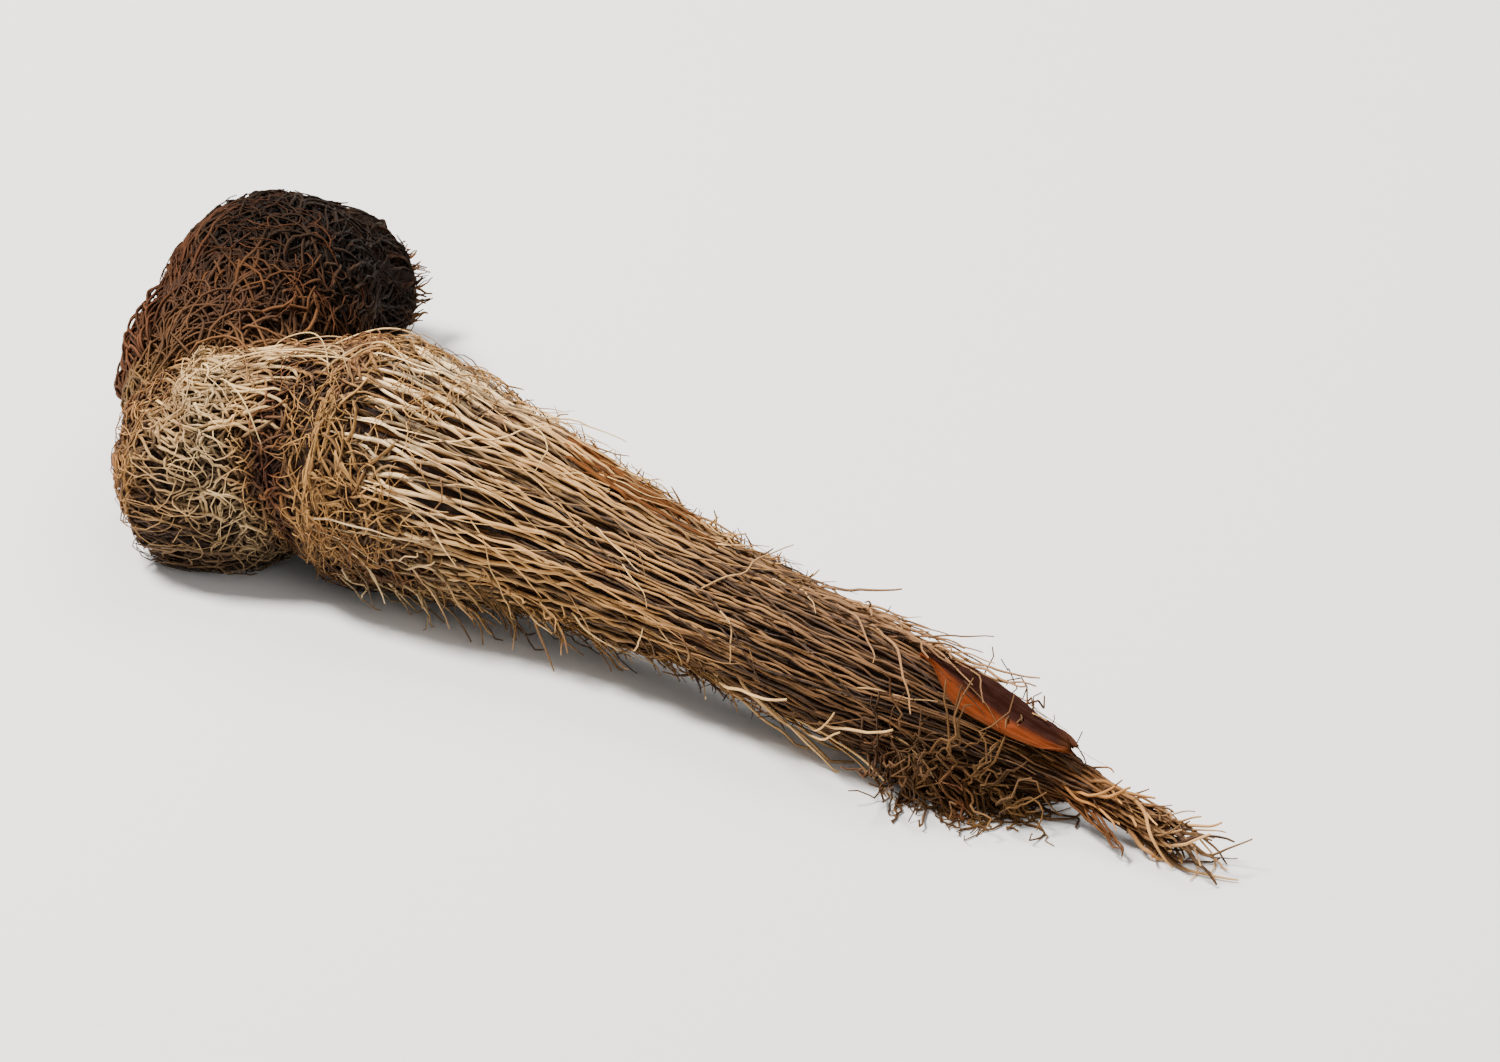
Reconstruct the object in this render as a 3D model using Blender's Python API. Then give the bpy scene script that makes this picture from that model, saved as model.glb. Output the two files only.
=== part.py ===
"""A dried spikenard root, lying on its side as picked from a heap.

The rootstock is a thick bent rhizome under a coat of parallel fibres, the skeletons of its old leaf bases.
At one end a rounded knob, matted like felt, turns into a dark crown that carries the broken stem. At the
other the coat frays into curly rootlets, a rust-coloured leaf sheath lies on it, and the last fibres end in
a thin brush.

The root's own frame, in millimetres: the knob rests on the surface at the origin, +X runs along the root to
its tip, +Y to the side where the crown bends back, +Z up. Round a section an angle of 0 looks to -Y and a
quarter turn looks up. At the end the whole root is moved so that the middle of its box is over the origin.
"""

import math
import random

import bmesh
import bpy
from mathutils import Vector, noise

MM = 0.001
TURN = 2 * math.pi

# Driving dimensions of the rootstock
KNOB_RADIUS = 6.85
KNOB_HEIGHT = 6.3  # of its middle, less than its radius, which gives it a flat spot to rest on
DOME_RINGS = 3
DOME_FIRST = 0.35  # how far round the dome its first ring is, as a share of the step between rings
ROOT_AXIS = (  # x, y and z of the axis, and the radius there, from the knob's middle to the tip
    (0.0, 0.0, KNOB_HEIGHT, KNOB_RADIUS),
    (4.6, 1.4, 7.9, 5.8),
    (9.5, 2.7, 7.9, 7.4),
    (14.0, 2.7, 7.9, 6.85),
    (19.0, 2.6, 7.6, 6.0),
    (25.0, 2.5, 7.2, 5.1),
    (32.7, 1.6, 6.6, 4.15),
    (40.6, 0.7, 6.1, 3.65),
    (47.2, 0.1, 5.5, 3.65),
    (52.6, 0.0, 4.8, 3.45),
    (57.0, 0.2, 4.1, 2.9),
    (61.5, 0.7, 3.2, 2.1),
    (66.2, 0.7, 2.4, 1.2),
    (71.5, 0.2, 1.7, 0.85),
    (75.4, -0.3, 1.1, 0.6),
)
RINGS_A_STATION = 4
LUMP = 0.05  # how far the section swells and shrinks, as a share of its radius
LUMP_SIZE = 9.0

# The coat: ridges along the root, each a bundle of fibres, that part and meet again like a drawn-out net
RIDGES = 22
RIDGE_HEIGHT = 0.42
GROOVE_DEPTH = 0.38
NET_CELL = 11.0  # length of one mesh of the net on the barrel
FELT_CELL = 4.6  # and on the knob
NET_SWAY = 0.42  # how far a ridge leans to its neighbour, as a share of their distance
COAT_TWIST = 0.35  # how far the ridges turn round the root from end to end, in radians

# Loose fibres, three-sided and drawn to a point. Each pair is the least and the most that is drawn between
FIBRE_RADIUS = 0.34
FIBRE_SUNK = 1.1  # how deep its thick end sits in what it grows from
FIBRE_TAPER = 0.6
FIBRE_GAP = 2.0  # how near a fibre of the rootstock comes to the crown
COAT_FIBRES = 44
COAT_FIBRE_STARTS = (0.20, 0.70)  # as shares of the root's length
COAT_FIBRE_ANGLES = (-0.9, 4.0)
COAT_FIBRE_LENGTHS = (5.5, 9.5)
COAT_FIBRE_SWINGS = (-0.35, 0.35)
COAT_FIBRE_TIPS = (0.7, 2.2)  # how far a tip stands off
COAT_FIBRE_LIFT = 0.75
FELT_LOOPS = 30
FELT_LOOP_STARTS = (0.06, 0.36)
FELT_LOOP_LENGTHS = (2.6, 4.2)
FELT_LOOP_RISES = (0.9, 1.7)
FELT_LOOP_CURL = 1.4
FELT_LOOP_LOWEST = 1.2
ROOTLETS = 26
ROOTLET_STARTS = (49.0, 61.0)  # x of the stretch that the tuft grows from
ROOTLET_ANGLES = (-1.35, 0.45)
ROOTLET_LENGTHS = (5.0, 8.5)
ROOTLET_SWAY = 0.9
ROOTLET_DROOP = 0.5
BRUSH_FIBRES = 7
BRUSH_STARTS = (67.5, 72.5)
BRUSH_LENGTHS = (5.0, 7.5)
BRUSH_SPREAD = 0.75
BRUSH_RISES = (-0.05, 0.12)
BRUSH_SWAY = 0.35
FORK = ((64.5, 0.2, 2.6), (67.4, -0.4, 1.9), (69.8, -1.2, 1.3), (72.6, -2.9, 0.6))  # a strand beside the tail
FORK_RADIUS = 0.5
ROOT_SEED = 17

# The dark crown, from inside the knob over its hump to the broken stem
CROWN_AXIS = (
    (0.0, 1.5, 7.6, 4.4),
    (-3.4, 6.6, 9.7, 6.2),
    (-7.0, 12.2, 10.6, 6.2),
    (-10.2, 18.0, 9.2, 5.5),
    (-12.2, 23.2, 6.6, 5.0),
    (-13.4, 27.4, 4.7, 4.6),
    (-13.9, 30.0, 3.6, 3.4),
)
CROWN_RIDGES = 13
CROWN_RIDGE_HEIGHT = 0.45
CROWN_CELL = 9.0
CROWN_TWIST = 0.9
CROWN_FIBRES = 24
CROWN_FIBRE_STARTS = (0.22, 0.70)
CROWN_FIBRE_ANGLES = (-0.6, 3.9)
CROWN_FIBRE_LENGTHS = (5.0, 8.0)
CROWN_FIBRE_SWINGS = (-0.5, 0.5)
CROWN_FIBRE_GAP = 1.6  # how near one comes to the rootstock
LEAF_BASES = 13
LEAF_BASE_FROM, LEAF_BASE_SPAN = 0.46, 0.36  # as shares of the crown's length
LEAF_BASE_TURN = 2.4  # from each one to the next, so that no two rows line up
LEAF_BASE_LENGTHS = (5.5, 7.5)
LEAF_BASE_LIFTS = (-1.2, 0.5, 1.0, 1.3, 1.9)
LEAF_BASE_WIDTHS = (2.2, 3.0, 2.8, 1.8)
LEAF_BASE_THICKNESS = 0.9
LEAF_BASE_LOWEST = 1.0
BLADE_RIM = 0.4  # thickness of a blade's rim, as a share of the thickness at its middle
STEM_RADIUS = 2.3
STEM_LENGTH = 5.0
STEM_AT = 0.93
STEM_SIDES, STEM_RINGS = 9, 5
STEM_ROUGHNESS, BREAK_ROUGHNESS = 0.25, 0.9
CROWN_SEED = 5

# What keeps the solids clean and apart
PRECISION = 0.002  # points nearer than this are made one after a Boolean
CLEARANCE = 0.35  # between the crown and the knob that it grows from, and under the leaf sheath
CUTTER_FLOOR = -2.0  # how far the cutter reaches below the surface, so that it leaves no film there

# The leaf sheath, a dry scale that lies on the top and back of the tail end, with its angles in radians
SHEATH_FROM, SHEATH_TO = 54.8, 66.0
SHEATH_MIDDLE = 1.45
SHEATH_HALF_WIDTH = 1.05
SHEATH_THICKNESS = 0.75
SHEATH_RIB = 0.12
SHEATH_TIP_LIFT = 0.5
SHEATH_ROWS, SHEATH_COLUMNS = 12, 9

COLOURS = {  # linear red, green and blue
    "straw_coat": (0.36, 0.24, 0.12, 1.0),
    "dark_crown": (0.070, 0.036, 0.020, 1.0),
    "rust_sheath": (0.30, 0.085, 0.028, 1.0),
}


class Axis:
    """A smooth line through stations of x, y, z and radius, read by a share t from 0 to 1."""

    def __init__(self, stations):
        self.stations = [Vector(s) for s in stations]

    def station(self, t):
        """The Catmull-Rom point at t, as one vector of four numbers."""
        last = len(self.stations) - 1
        place = min(max(t, 0.0), 1.0) * last
        i = min(int(place), last - 1)
        f = place - i
        a, b, c, d = (self.stations[min(max(k, 0), last)] for k in range(i - 1, i + 3))
        bend = (2 * a - 5 * b + 4 * c - d) * f**2
        swing = (3 * b - a - 3 * c + d) * f**3
        return 0.5 * ((2 * b) + (c - a) * f + bend + swing)

    def frame(self, t):
        """The middle, the directions to the side, up and ahead, and the radius at t."""
        step = 0.004
        here = self.station(t)
        ahead = (self.station(t + step) - self.station(t - step)).to_3d().normalized()
        side = ahead.cross(Vector((0, 0, 1))).normalized()
        return here.to_3d(), side, side.cross(ahead), ahead, max(here[3], 0.0)

    def length(self):
        return sum((a - b).to_3d().length for a, b in zip(self.stations, self.stations[1:]))

    def share_at(self, x):
        """The share t where an axis that runs along +X passes x."""
        low, high = 0.0, 1.0
        for _ in range(24):
            middle = (low + high) / 2
            low, high = (middle, high) if self.station(middle)[0] < x else (low, middle)
        return low

    def gap(self, point):
        """How far a point is outside this axis's own skin."""
        shares = [i / 40 for i in range(41)]
        return min((self.station(t).to_3d() - point).length - self.station(t)[3] for t in shares)


def dome_stations():
    """The rounded end of the knob, as stations on a half circle."""
    angles = [math.pi / 2 * (i + DOME_FIRST) / DOME_RINGS for i in range(DOME_RINGS)]
    return [(-KNOB_RADIUS * math.cos(a), 0.0, KNOB_HEIGHT, KNOB_RADIUS * math.sin(a)) for a in angles]


ROOT = Axis(dome_stations() + list(ROOT_AXIS))
CROWN = Axis(CROWN_AXIS)


def skin_point(axis, t, angle, lift=0.0, floor=0.0):
    """A point on a stem's lumpy skin, or lifted off it, and never under the surface that the root lies on."""
    middle, side, up, _, radius = axis.frame(t)
    out = side * math.cos(angle) + up * math.sin(angle)
    swell = 1 + LUMP * noise.noise((middle + out * radius) / LUMP_SIZE)
    point = middle + out * (radius * swell + lift)
    point.z = max(point.z, floor)
    return point


def swept_points(axis, start, reach, angle, swing, lifts):
    """Points that run along a stem and round it at an even pace, each lifted off its skin by an amount."""
    shares = [i / (len(lifts) - 1) for i in range(len(lifts))]
    return [skin_point(axis, start + reach * s, angle + swing * s, lift) for s, lift in zip(shares, lifts)]


def net_ring(axis, t, ridges, height, depth, cell, twist, floor):
    """One ring of a ridged skin. Neighbouring ridges lean together and apart and close into a net."""
    columns = 2 * ridges
    pitch = TURN / columns
    fade = min(1.0, axis.station(t)[3] / 4.0)
    wave = math.sin(TURN * t * axis.length() / cell)
    ring = []
    for column in range(columns):
        lean = 0.0
        lift = -depth * fade
        if column % 2 == 0:
            lean = NET_SWAY * pitch * wave * (1 if column % 4 == 0 else -1)
            lift = height * fade
        ring.append(skin_point(axis, t, column * pitch + lean + twist * t, lift, floor))
    return ring


def skin_object(name, rings, ends):
    """A closed mesh through rings of equally many points, drawn together in a point at each end."""
    bm = bmesh.new()
    loops = [[bm.verts.new(p * MM) for p in ring] for ring in rings]
    for one, other in zip(loops, loops[1:]):
        for a, b, c, d in zip(one, one[1:] + one[:1], other[1:] + other[:1], other):
            bm.faces.new((a, b, c, d))
    for loop, end in ((loops[0], ends[0]), (loops[-1], ends[1])):
        pole = bm.verts.new(end * MM)
        for a, b in zip(loop, loop[1:] + loop[:1]):
            bm.faces.new((a, b, pole))
    bmesh.ops.recalc_face_normals(bm, faces=bm.faces)
    mesh = bpy.data.meshes.new(name)
    bm.to_mesh(mesh)
    bm.free()
    obj = bpy.data.objects.new(name, mesh)
    bpy.context.scene.collection.objects.link(obj)
    return obj


def stem_object(name, axis, ridges, height, depth, cell_at, twist, floor=0.0):
    """A ridged stem along an axis."""
    count = RINGS_A_STATION * (len(axis.stations) - 1)
    shares = [i / count for i in range(count + 1)]
    rings = [net_ring(axis, t, ridges, height, depth, cell_at(t), twist, floor) for t in shares]
    first, last = axis.frame(0.0), axis.frame(1.0)
    return skin_object(name, rings, (first[0] - first[3] * 0.4, last[0] + last[3] * 0.8))


def fibre_object(points, radius, sides=3):
    """A thin tapered fibre through its points, with the last one as its tip."""
    rings = []
    for i, (here, ahead) in enumerate(zip(points, points[1:])):
        along = (ahead - (points[i - 1] if i else here)).normalized()
        across = along.cross(Vector((0.31, 0.22, 0.93))).normalized()
        other = along.cross(across)
        thick = radius * (1 - FIBRE_TAPER * i / len(points))
        corners = [TURN * k / sides for k in range(sides)]
        rings.append([here + (across * math.cos(a) + other * math.sin(a)) * thick for a in corners])
    return skin_object("fibre", rings, ((points[0] + rings[0][0]) / 2, points[-1]))


def above_surface(points, radius):
    """The same points, none lower than a fibre of this radius lies on the surface."""
    return [Vector((p.x, p.y, max(p.z, radius + 0.06))) for p in points]


def fuse(body, repeats):
    """Joins the repeats to the body that they grow from, as one solid."""
    holder = bpy.data.collections.new("repeats")
    for repeat in repeats:
        bpy.context.scene.collection.objects.unlink(repeat)
        holder.objects.link(repeat)
    join = body.modifiers.new("grown together", "BOOLEAN")
    join.operation = "UNION"
    join.operand_type = "COLLECTION"
    join.collection = holder
    join.solver = "MANIFOLD"
    apply(body)
    for repeat in list(holder.objects):
        bpy.data.objects.remove(repeat)
    bpy.data.collections.remove(holder)


def cut(body, cutter):
    """Takes the cutter's shape out of the body."""
    bite = body.modifiers.new("cut", "BOOLEAN")
    bite.operation = "DIFFERENCE"
    bite.object = cutter
    bite.solver = "MANIFOLD"
    apply(body)
    bpy.data.objects.remove(cutter)


def drop_crumbs(body):
    """Merges points that a Boolean left closer than its precision, and removes the specks that fall off."""
    bm = bmesh.new()
    bm.from_mesh(body.data)
    bmesh.ops.remove_doubles(bm, verts=bm.verts, dist=PRECISION * MM)
    left = set(bm.verts)
    islands = []
    while left:
        found = {left.pop()}
        edge = set(found)
        while edge:
            edge = {e.other_vert(v) for v in edge for e in v.link_edges} - found
            found |= edge
        left -= found
        islands.append(found)
    islands.sort(key=len)
    for crumb in islands[:-1]:
        bmesh.ops.delete(bm, geom=list(crumb), context="VERTS")
    bm.to_mesh(body.data)
    bm.free()


def apply(body):
    """Makes the evaluated shape the body's own mesh."""
    bpy.context.view_layer.update()
    shaped = body.evaluated_get(bpy.context.evaluated_depsgraph_get())
    mesh = bpy.data.meshes.new_from_object(shaped)
    body.modifiers.clear()
    body.data = mesh
    drop_crumbs(body)


def material(name, roughness):
    made = bpy.data.materials.new(name)
    made.use_nodes = True
    shader = made.node_tree.nodes["Principled BSDF"]
    shader.inputs["Base Color"].default_value = COLOURS[name]
    shader.inputs["Roughness"].default_value = roughness
    shader.inputs["Metallic"].default_value = 0.0
    return made


def under_the_sheath(t, angle):
    """True where a fibre would run into the leaf sheath."""
    along = SHEATH_FROM - 2.0 < ROOT.station(t)[0] < SHEATH_TO + 1.0
    turned = (angle - SHEATH_MIDDLE + math.pi) % TURN - math.pi
    return along and abs(turned) < SHEATH_HALF_WIDTH + 0.3


def coat_fibres(draw):
    """Fibres that come off the coat at a low angle, with their tips towards the tail."""
    made = []
    while len(made) < COAT_FIBRES:
        start = draw.uniform(*COAT_FIBRE_STARTS)
        angle = draw.uniform(*COAT_FIBRE_ANGLES)
        reach = draw.uniform(*COAT_FIBRE_LENGTHS) / ROOT.length()
        swing = draw.uniform(*COAT_FIBRE_SWINGS)
        tip = draw.uniform(*COAT_FIBRE_TIPS)
        shares = [i / 4 for i in range(5)]
        lifts = [-FIBRE_SUNK if s == 0 else COAT_FIBRE_LIFT + (tip - 0.4) * s**2 for s in shares]
        points = swept_points(ROOT, start, reach, angle, swing, lifts)
        if any(CROWN.gap(p) < FIBRE_GAP for p in points) or under_the_sheath(start + reach, angle + swing):
            continue
        made.append(fibre_object(above_surface(points, FIBRE_RADIUS), FIBRE_RADIUS))
    return made


def felt_loops(draw):
    """Curled ends that arch out of the felt on the knob and the shoulder behind it."""
    made = []
    while len(made) < FELT_LOOPS:
        start = draw.uniform(*FELT_LOOP_STARTS)
        angle = draw.uniform(0, TURN)
        heading = draw.uniform(0, TURN)
        reach = draw.uniform(*FELT_LOOP_LENGTHS)
        rise = draw.uniform(*FELT_LOOP_RISES)
        points = []
        for i in range(5):
            s = i / 4
            bent = heading + FELT_LOOP_CURL * s
            t = start + reach * s * math.cos(bent) / ROOT.length()
            turn = angle + reach * s * math.sin(bent) / KNOB_RADIUS
            points.append(skin_point(ROOT, t, turn, -FIBRE_SUNK + (rise + FIBRE_SUNK) * math.sin(2.6 * s)))
        if any(CROWN.gap(p) < FIBRE_GAP for p in points) or min(p.z for p in points) < FELT_LOOP_LOWEST:
            continue
        made.append(fibre_object(points, FIBRE_RADIUS))
    return made


def rootlets(draw):
    """The tuft of curly rootlets under the tail end, which spreads out over the surface."""
    made = []
    while len(made) < ROOTLETS:
        start = ROOT.share_at(draw.uniform(*ROOTLET_STARTS))
        angle = draw.uniform(*ROOTLET_ANGLES)
        middle, side, up, ahead, radius = ROOT.frame(start)
        out = side * math.cos(angle) + up * math.sin(angle)
        heading = (out + ahead * draw.uniform(-0.1, 1.0) - up * ROOTLET_DROOP).normalized()
        curl = heading.cross(up).normalized()
        phase = draw.uniform(0, TURN)
        length = draw.uniform(*ROOTLET_LENGTHS)
        points = [middle + out * (radius - FIBRE_SUNK)]
        for i in range(1, 7):
            s = i / 6
            sway = curl * math.sin(phase + 5.0 * s) + up * math.cos(phase + 4.0 * s)
            points.append(middle + out * radius + heading * length * s + sway * ROOTLET_SWAY * s)
        made.append(fibre_object(above_surface(points, FIBRE_RADIUS), FIBRE_RADIUS))
    return made


def brush(draw):
    """The last fibres, which spread past the tip."""
    made = []
    for i in range(BRUSH_FIBRES):
        spread = (i + 0.5) / BRUSH_FIBRES - 0.5
        start = ROOT.share_at(draw.uniform(*BRUSH_STARTS))
        middle, side, up, ahead, _ = ROOT.frame(start)
        heading = (ahead - side * spread * BRUSH_SPREAD + up * draw.uniform(*BRUSH_RISES)).normalized()
        length = draw.uniform(*BRUSH_LENGTHS)
        points = []
        for s in (0, 0.35, 0.6, 0.8, 1):
            points.append(middle + heading * length * s + side * BRUSH_SWAY * math.sin(7 * s + i))
        made.append(fibre_object(above_surface(points, FIBRE_RADIUS), FIBRE_RADIUS))
    fork = [Vector(p) for p in FORK]
    made.append(fibre_object(above_surface(fork, FORK_RADIUS), FORK_RADIUS, sides=5))
    return made


def rootstock():
    """Knob, barrel and tail as one body, with its loose fibres grown into it."""
    draw = random.Random(ROOT_SEED)
    shoulder = ROOT.share_at(11.0)

    def cell_at(t):
        return FELT_CELL if t < shoulder else NET_CELL

    body = stem_object("rootstock", ROOT, RIDGES, RIDGE_HEIGHT, GROOVE_DEPTH, cell_at, COAT_TWIST)
    fuse(body, coat_fibres(draw) + felt_loops(draw) + rootlets(draw) + brush(draw))
    body.data.materials.append(material("straw_coat", 0.85))
    return body


def blade_object(points, widths, across, thickness):
    """A thin blade through its points, with its flat side across, drawn to a point at its tip."""
    rings = []
    for i, (here, ahead) in enumerate(zip(points, points[1:])):
        along = (ahead - (points[i - 1] if i else here)).normalized()
        thick = along.cross(across).normalized() * thickness / 2
        wide = across * widths[i] / 2
        rim = thick * BLADE_RIM
        under = [here - wide - rim, here - thick, here + wide - rim]
        over = [here + wide + rim, here + thick, here - wide + rim]
        rings.append(under + over)
    return skin_object("blade", rings, (points[0], points[-1]))


def leaf_bases(draw):
    """Remains of leaf bases that clasp the crown in rows and stand off a little at their tips."""
    made = []
    for i in range(LEAF_BASES):
        start = LEAF_BASE_FROM + LEAF_BASE_SPAN * i / LEAF_BASES
        angle = LEAF_BASE_TURN * i + draw.uniform(-0.2, 0.2)
        middle, side, up, ahead, radius = CROWN.frame(start)
        out = side * math.cos(angle) + up * math.sin(angle)
        across = ahead.cross(out).normalized()
        length = draw.uniform(*LEAF_BASE_LENGTHS)
        points = []
        for s, lift in zip((0.0, 0.2, 0.5, 0.8, 1.0), LEAF_BASE_LIFTS):
            points.append(skin_point(CROWN, start + length * s / CROWN.length(), angle, lift))
        if min(p.z for p in points) < LEAF_BASE_LOWEST:
            continue
        made.append(blade_object(points, LEAF_BASE_WIDTHS, across, LEAF_BASE_THICKNESS))
    return made


def crown_fibres(draw):
    """Dark fibres that lie over the crown and stand off at their tips."""
    made = []
    while len(made) < CROWN_FIBRES:
        start = draw.uniform(*CROWN_FIBRE_STARTS)
        angle = draw.uniform(*CROWN_FIBRE_ANGLES)
        reach = draw.uniform(*CROWN_FIBRE_LENGTHS) / CROWN.length()
        swing = draw.uniform(*CROWN_FIBRE_SWINGS)
        shares = [i / 4 for i in range(5)]
        lifts = [-FIBRE_SUNK if s == 0 else 0.8 + 0.9 * s**2 for s in shares]
        points = swept_points(CROWN, start, reach, angle, swing, lifts)
        if any(ROOT.gap(p) < CROWN_FIBRE_GAP for p in points):
            continue
        made.append(fibre_object(above_surface(points, FIBRE_RADIUS), FIBRE_RADIUS))
    return made


def broken_stem(draw):
    """The stub of last year's stem, with a rough broken end."""
    middle, side, up, ahead, _ = CROWN.frame(STEM_AT)
    rings = []
    for i in range(STEM_RINGS):
        length = -1.0 + (STEM_LENGTH + 1.0) * i / (STEM_RINGS - 1)
        rough = BREAK_ROUGHNESS if i == STEM_RINGS - 1 else STEM_ROUGHNESS
        ring = []
        for k in range(STEM_SIDES):
            a = TURN * k / STEM_SIDES
            out = side * math.cos(a) + up * math.sin(a)
            reach = STEM_RADIUS * (1 - 0.05 * i) * (1 + 0.12 * math.sin(3 * a + 0.7 * i))
            ring.append(middle + ahead * (length + draw.uniform(-rough, rough)) + out * reach)
        rings.append(above_surface(ring, 0.0))
    first, last = middle - ahead * 1.5, middle + ahead * (STEM_LENGTH - 1.1)
    return skin_object("stem", rings, (first, last))


def crown():
    """The dark crown, cut clear of the knob that it grows from."""
    draw = random.Random(CROWN_SEED)
    height = CROWN_RIDGE_HEIGHT
    body = stem_object("crown", CROWN, CROWN_RIDGES, height, height, lambda t: CROWN_CELL, CROWN_TWIST)
    fuse(body, [broken_stem(draw)] + leaf_bases(draw) + crown_fibres(draw))
    outer, inner = RIDGE_HEIGHT + CLEARANCE, GROOVE_DEPTH - CLEARANCE
    room = stem_object("room", ROOT, RIDGES, outer, inner, lambda t: FELT_CELL, COAT_TWIST, CUTTER_FLOOR)
    cut(body, room)
    body.data.materials.append(material("dark_crown", 0.8))
    return body


def leaf_sheath():
    """The dry leaf sheath: an arched, ribbed blade that narrows to its torn tip, clear of the coat."""
    rows, columns = SHEATH_ROWS, SHEATH_COLUMNS
    low, high = ROOT.share_at(SHEATH_FROM), ROOT.share_at(SHEATH_TO)
    under, over = [], []
    for i in range(rows):
        s = i / (rows - 1)
        t = low + (high - low) * s
        fade = min(1.0, ROOT.station(t)[3] / 4.0)
        lift = RIDGE_HEIGHT * fade + CLEARANCE + SHEATH_RIB + SHEATH_TIP_LIFT * s**4
        half = SHEATH_HALF_WIDTH * (0.55 + 0.45 * math.sin(math.pi * min(0.5, 1.4 * s))) * (1 - 0.75 * s**3)
        turns = [SHEATH_MIDDLE + half * (2 * k / (columns - 1) - 1) for k in range(columns)]
        ribs = [SHEATH_RIB * math.cos(math.pi * k) for k in range(columns)]
        for grid, height in ((under, lift), (over, lift + SHEATH_THICKNESS)):
            grid.append([skin_point(ROOT, t, turn, height + rib) for turn, rib in zip(turns, ribs)])
    body = blade_between("leaf_sheath", under, over)
    body.data.materials.append(material("rust_sheath", 0.45))
    return body


def blade_between(name, under, over):
    """A closed blade between two grids of points, split into triangles alike on both faces."""
    rows, columns = len(under), len(under[0])
    bm = bmesh.new()
    grids = [[[bm.verts.new(p * MM) for p in row] for row in grid] for grid in (under, over)]
    for grid in grids:
        for i in range(rows - 1):
            for k in range(columns - 1):
                a, b, c, d = grid[i][k], grid[i][k + 1], grid[i + 1][k + 1], grid[i + 1][k]
                bm.faces.new((a, b, c))
                bm.faces.new((a, c, d))
    rim = [(0, k) for k in range(columns)] + [(i, columns - 1) for i in range(1, rows)]
    rim += [(rows - 1, k) for k in range(columns - 2, -1, -1)] + [(i, 0) for i in range(rows - 2, 0, -1)]
    for (i, k), (j, m) in zip(rim, rim[1:] + rim[:1]):
        bm.faces.new((grids[0][i][k], grids[0][j][m], grids[1][j][m], grids[1][i][k]))
    bmesh.ops.recalc_face_normals(bm, faces=bm.faces)
    mesh = bpy.data.meshes.new(name)
    bm.to_mesh(mesh)
    bm.free()
    obj = bpy.data.objects.new(name, mesh)
    bpy.context.scene.collection.objects.link(obj)
    return obj


def stand_on_origin(objects):
    """Moves the whole root so that the middle of its box is over the origin, and shades it smooth."""
    points = [v.co for obj in objects for v in obj.data.vertices]
    middle_x = (min(p.x for p in points) + max(p.x for p in points)) / 2
    middle_y = (min(p.y for p in points) + max(p.y for p in points)) / 2
    for obj in objects:
        for v in obj.data.vertices:
            v.co.x -= middle_x
            v.co.y -= middle_y
        obj.data.shade_smooth()
        obj.data.set_sharp_from_angle(angle=math.radians(50))


def main():
    for obj in list(bpy.data.objects):
        bpy.data.objects.remove(obj)
    stand_on_origin([rootstock(), crown(), leaf_sheath()])


main()
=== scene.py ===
"""The looks of a dried spikenard root that lies on its side.

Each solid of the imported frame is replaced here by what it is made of: a dark rhizome, and over it
thousands of fibres that Geometry Nodes trees grow along its skin. A place on the skin is a length along a
stem's guide and an angle round it. 0 is the right-hand side of the way that the guide runs, which is the
root's front, and a quarter turn is up.
"""

import math
from types import SimpleNamespace

import bpy
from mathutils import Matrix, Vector


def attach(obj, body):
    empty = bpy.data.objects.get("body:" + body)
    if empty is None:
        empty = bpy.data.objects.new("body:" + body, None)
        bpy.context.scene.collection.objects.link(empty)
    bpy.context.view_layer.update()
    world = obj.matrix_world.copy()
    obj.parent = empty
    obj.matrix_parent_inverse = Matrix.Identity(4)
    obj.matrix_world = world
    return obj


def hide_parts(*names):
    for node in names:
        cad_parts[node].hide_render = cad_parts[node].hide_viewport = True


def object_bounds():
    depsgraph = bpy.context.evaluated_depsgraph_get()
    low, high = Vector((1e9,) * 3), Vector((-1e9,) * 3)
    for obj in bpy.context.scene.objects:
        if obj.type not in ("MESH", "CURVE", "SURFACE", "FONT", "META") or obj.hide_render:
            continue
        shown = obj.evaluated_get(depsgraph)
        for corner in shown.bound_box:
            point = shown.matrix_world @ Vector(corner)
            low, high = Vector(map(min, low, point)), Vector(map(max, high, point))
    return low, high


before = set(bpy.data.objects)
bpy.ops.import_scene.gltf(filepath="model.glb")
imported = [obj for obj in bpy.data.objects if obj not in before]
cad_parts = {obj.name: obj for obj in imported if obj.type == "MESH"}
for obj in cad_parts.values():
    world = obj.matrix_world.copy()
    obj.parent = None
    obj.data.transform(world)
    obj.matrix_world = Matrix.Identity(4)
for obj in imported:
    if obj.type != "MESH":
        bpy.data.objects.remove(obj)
cad_low, cad_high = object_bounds()
scene = bpy.context.scene


# Camera, light and floor
# The camera looks down at the root from its front right, as the photograph does, from far enough for a long
# lens. A soft window on the left, a weaker one on the right and one behind stand round a plain pale floor.
CAMERA_AIM = (cad_low + cad_high) / 2 + Vector((0.004, -0.002, -0.002))
CAMERA_LENS = 500
SKY_COLOUR, SKY_STRENGTH = (1.0, 1.0, 1.0, 1.0), 0.38
FLOOR_COLOUR, FLOOR_SIZE = (0.80, 0.79, 0.78, 1.0), 4.0


def facing(name, data, azimuth, elevation, distance):
    """An object that looks at the root from a direction in degrees and a distance in metres."""
    a, e = math.radians(azimuth), math.radians(elevation)
    towards = Vector((math.sin(a) * math.cos(e), -math.cos(a) * math.cos(e), math.sin(e)))
    made = bpy.data.objects.new(name, data)
    made.location = CAMERA_AIM + towards * distance
    made.rotation_mode = "QUATERNION"
    made.rotation_quaternion = towards.to_track_quat("Z", "Y")
    scene.collection.objects.link(made)
    return made


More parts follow.
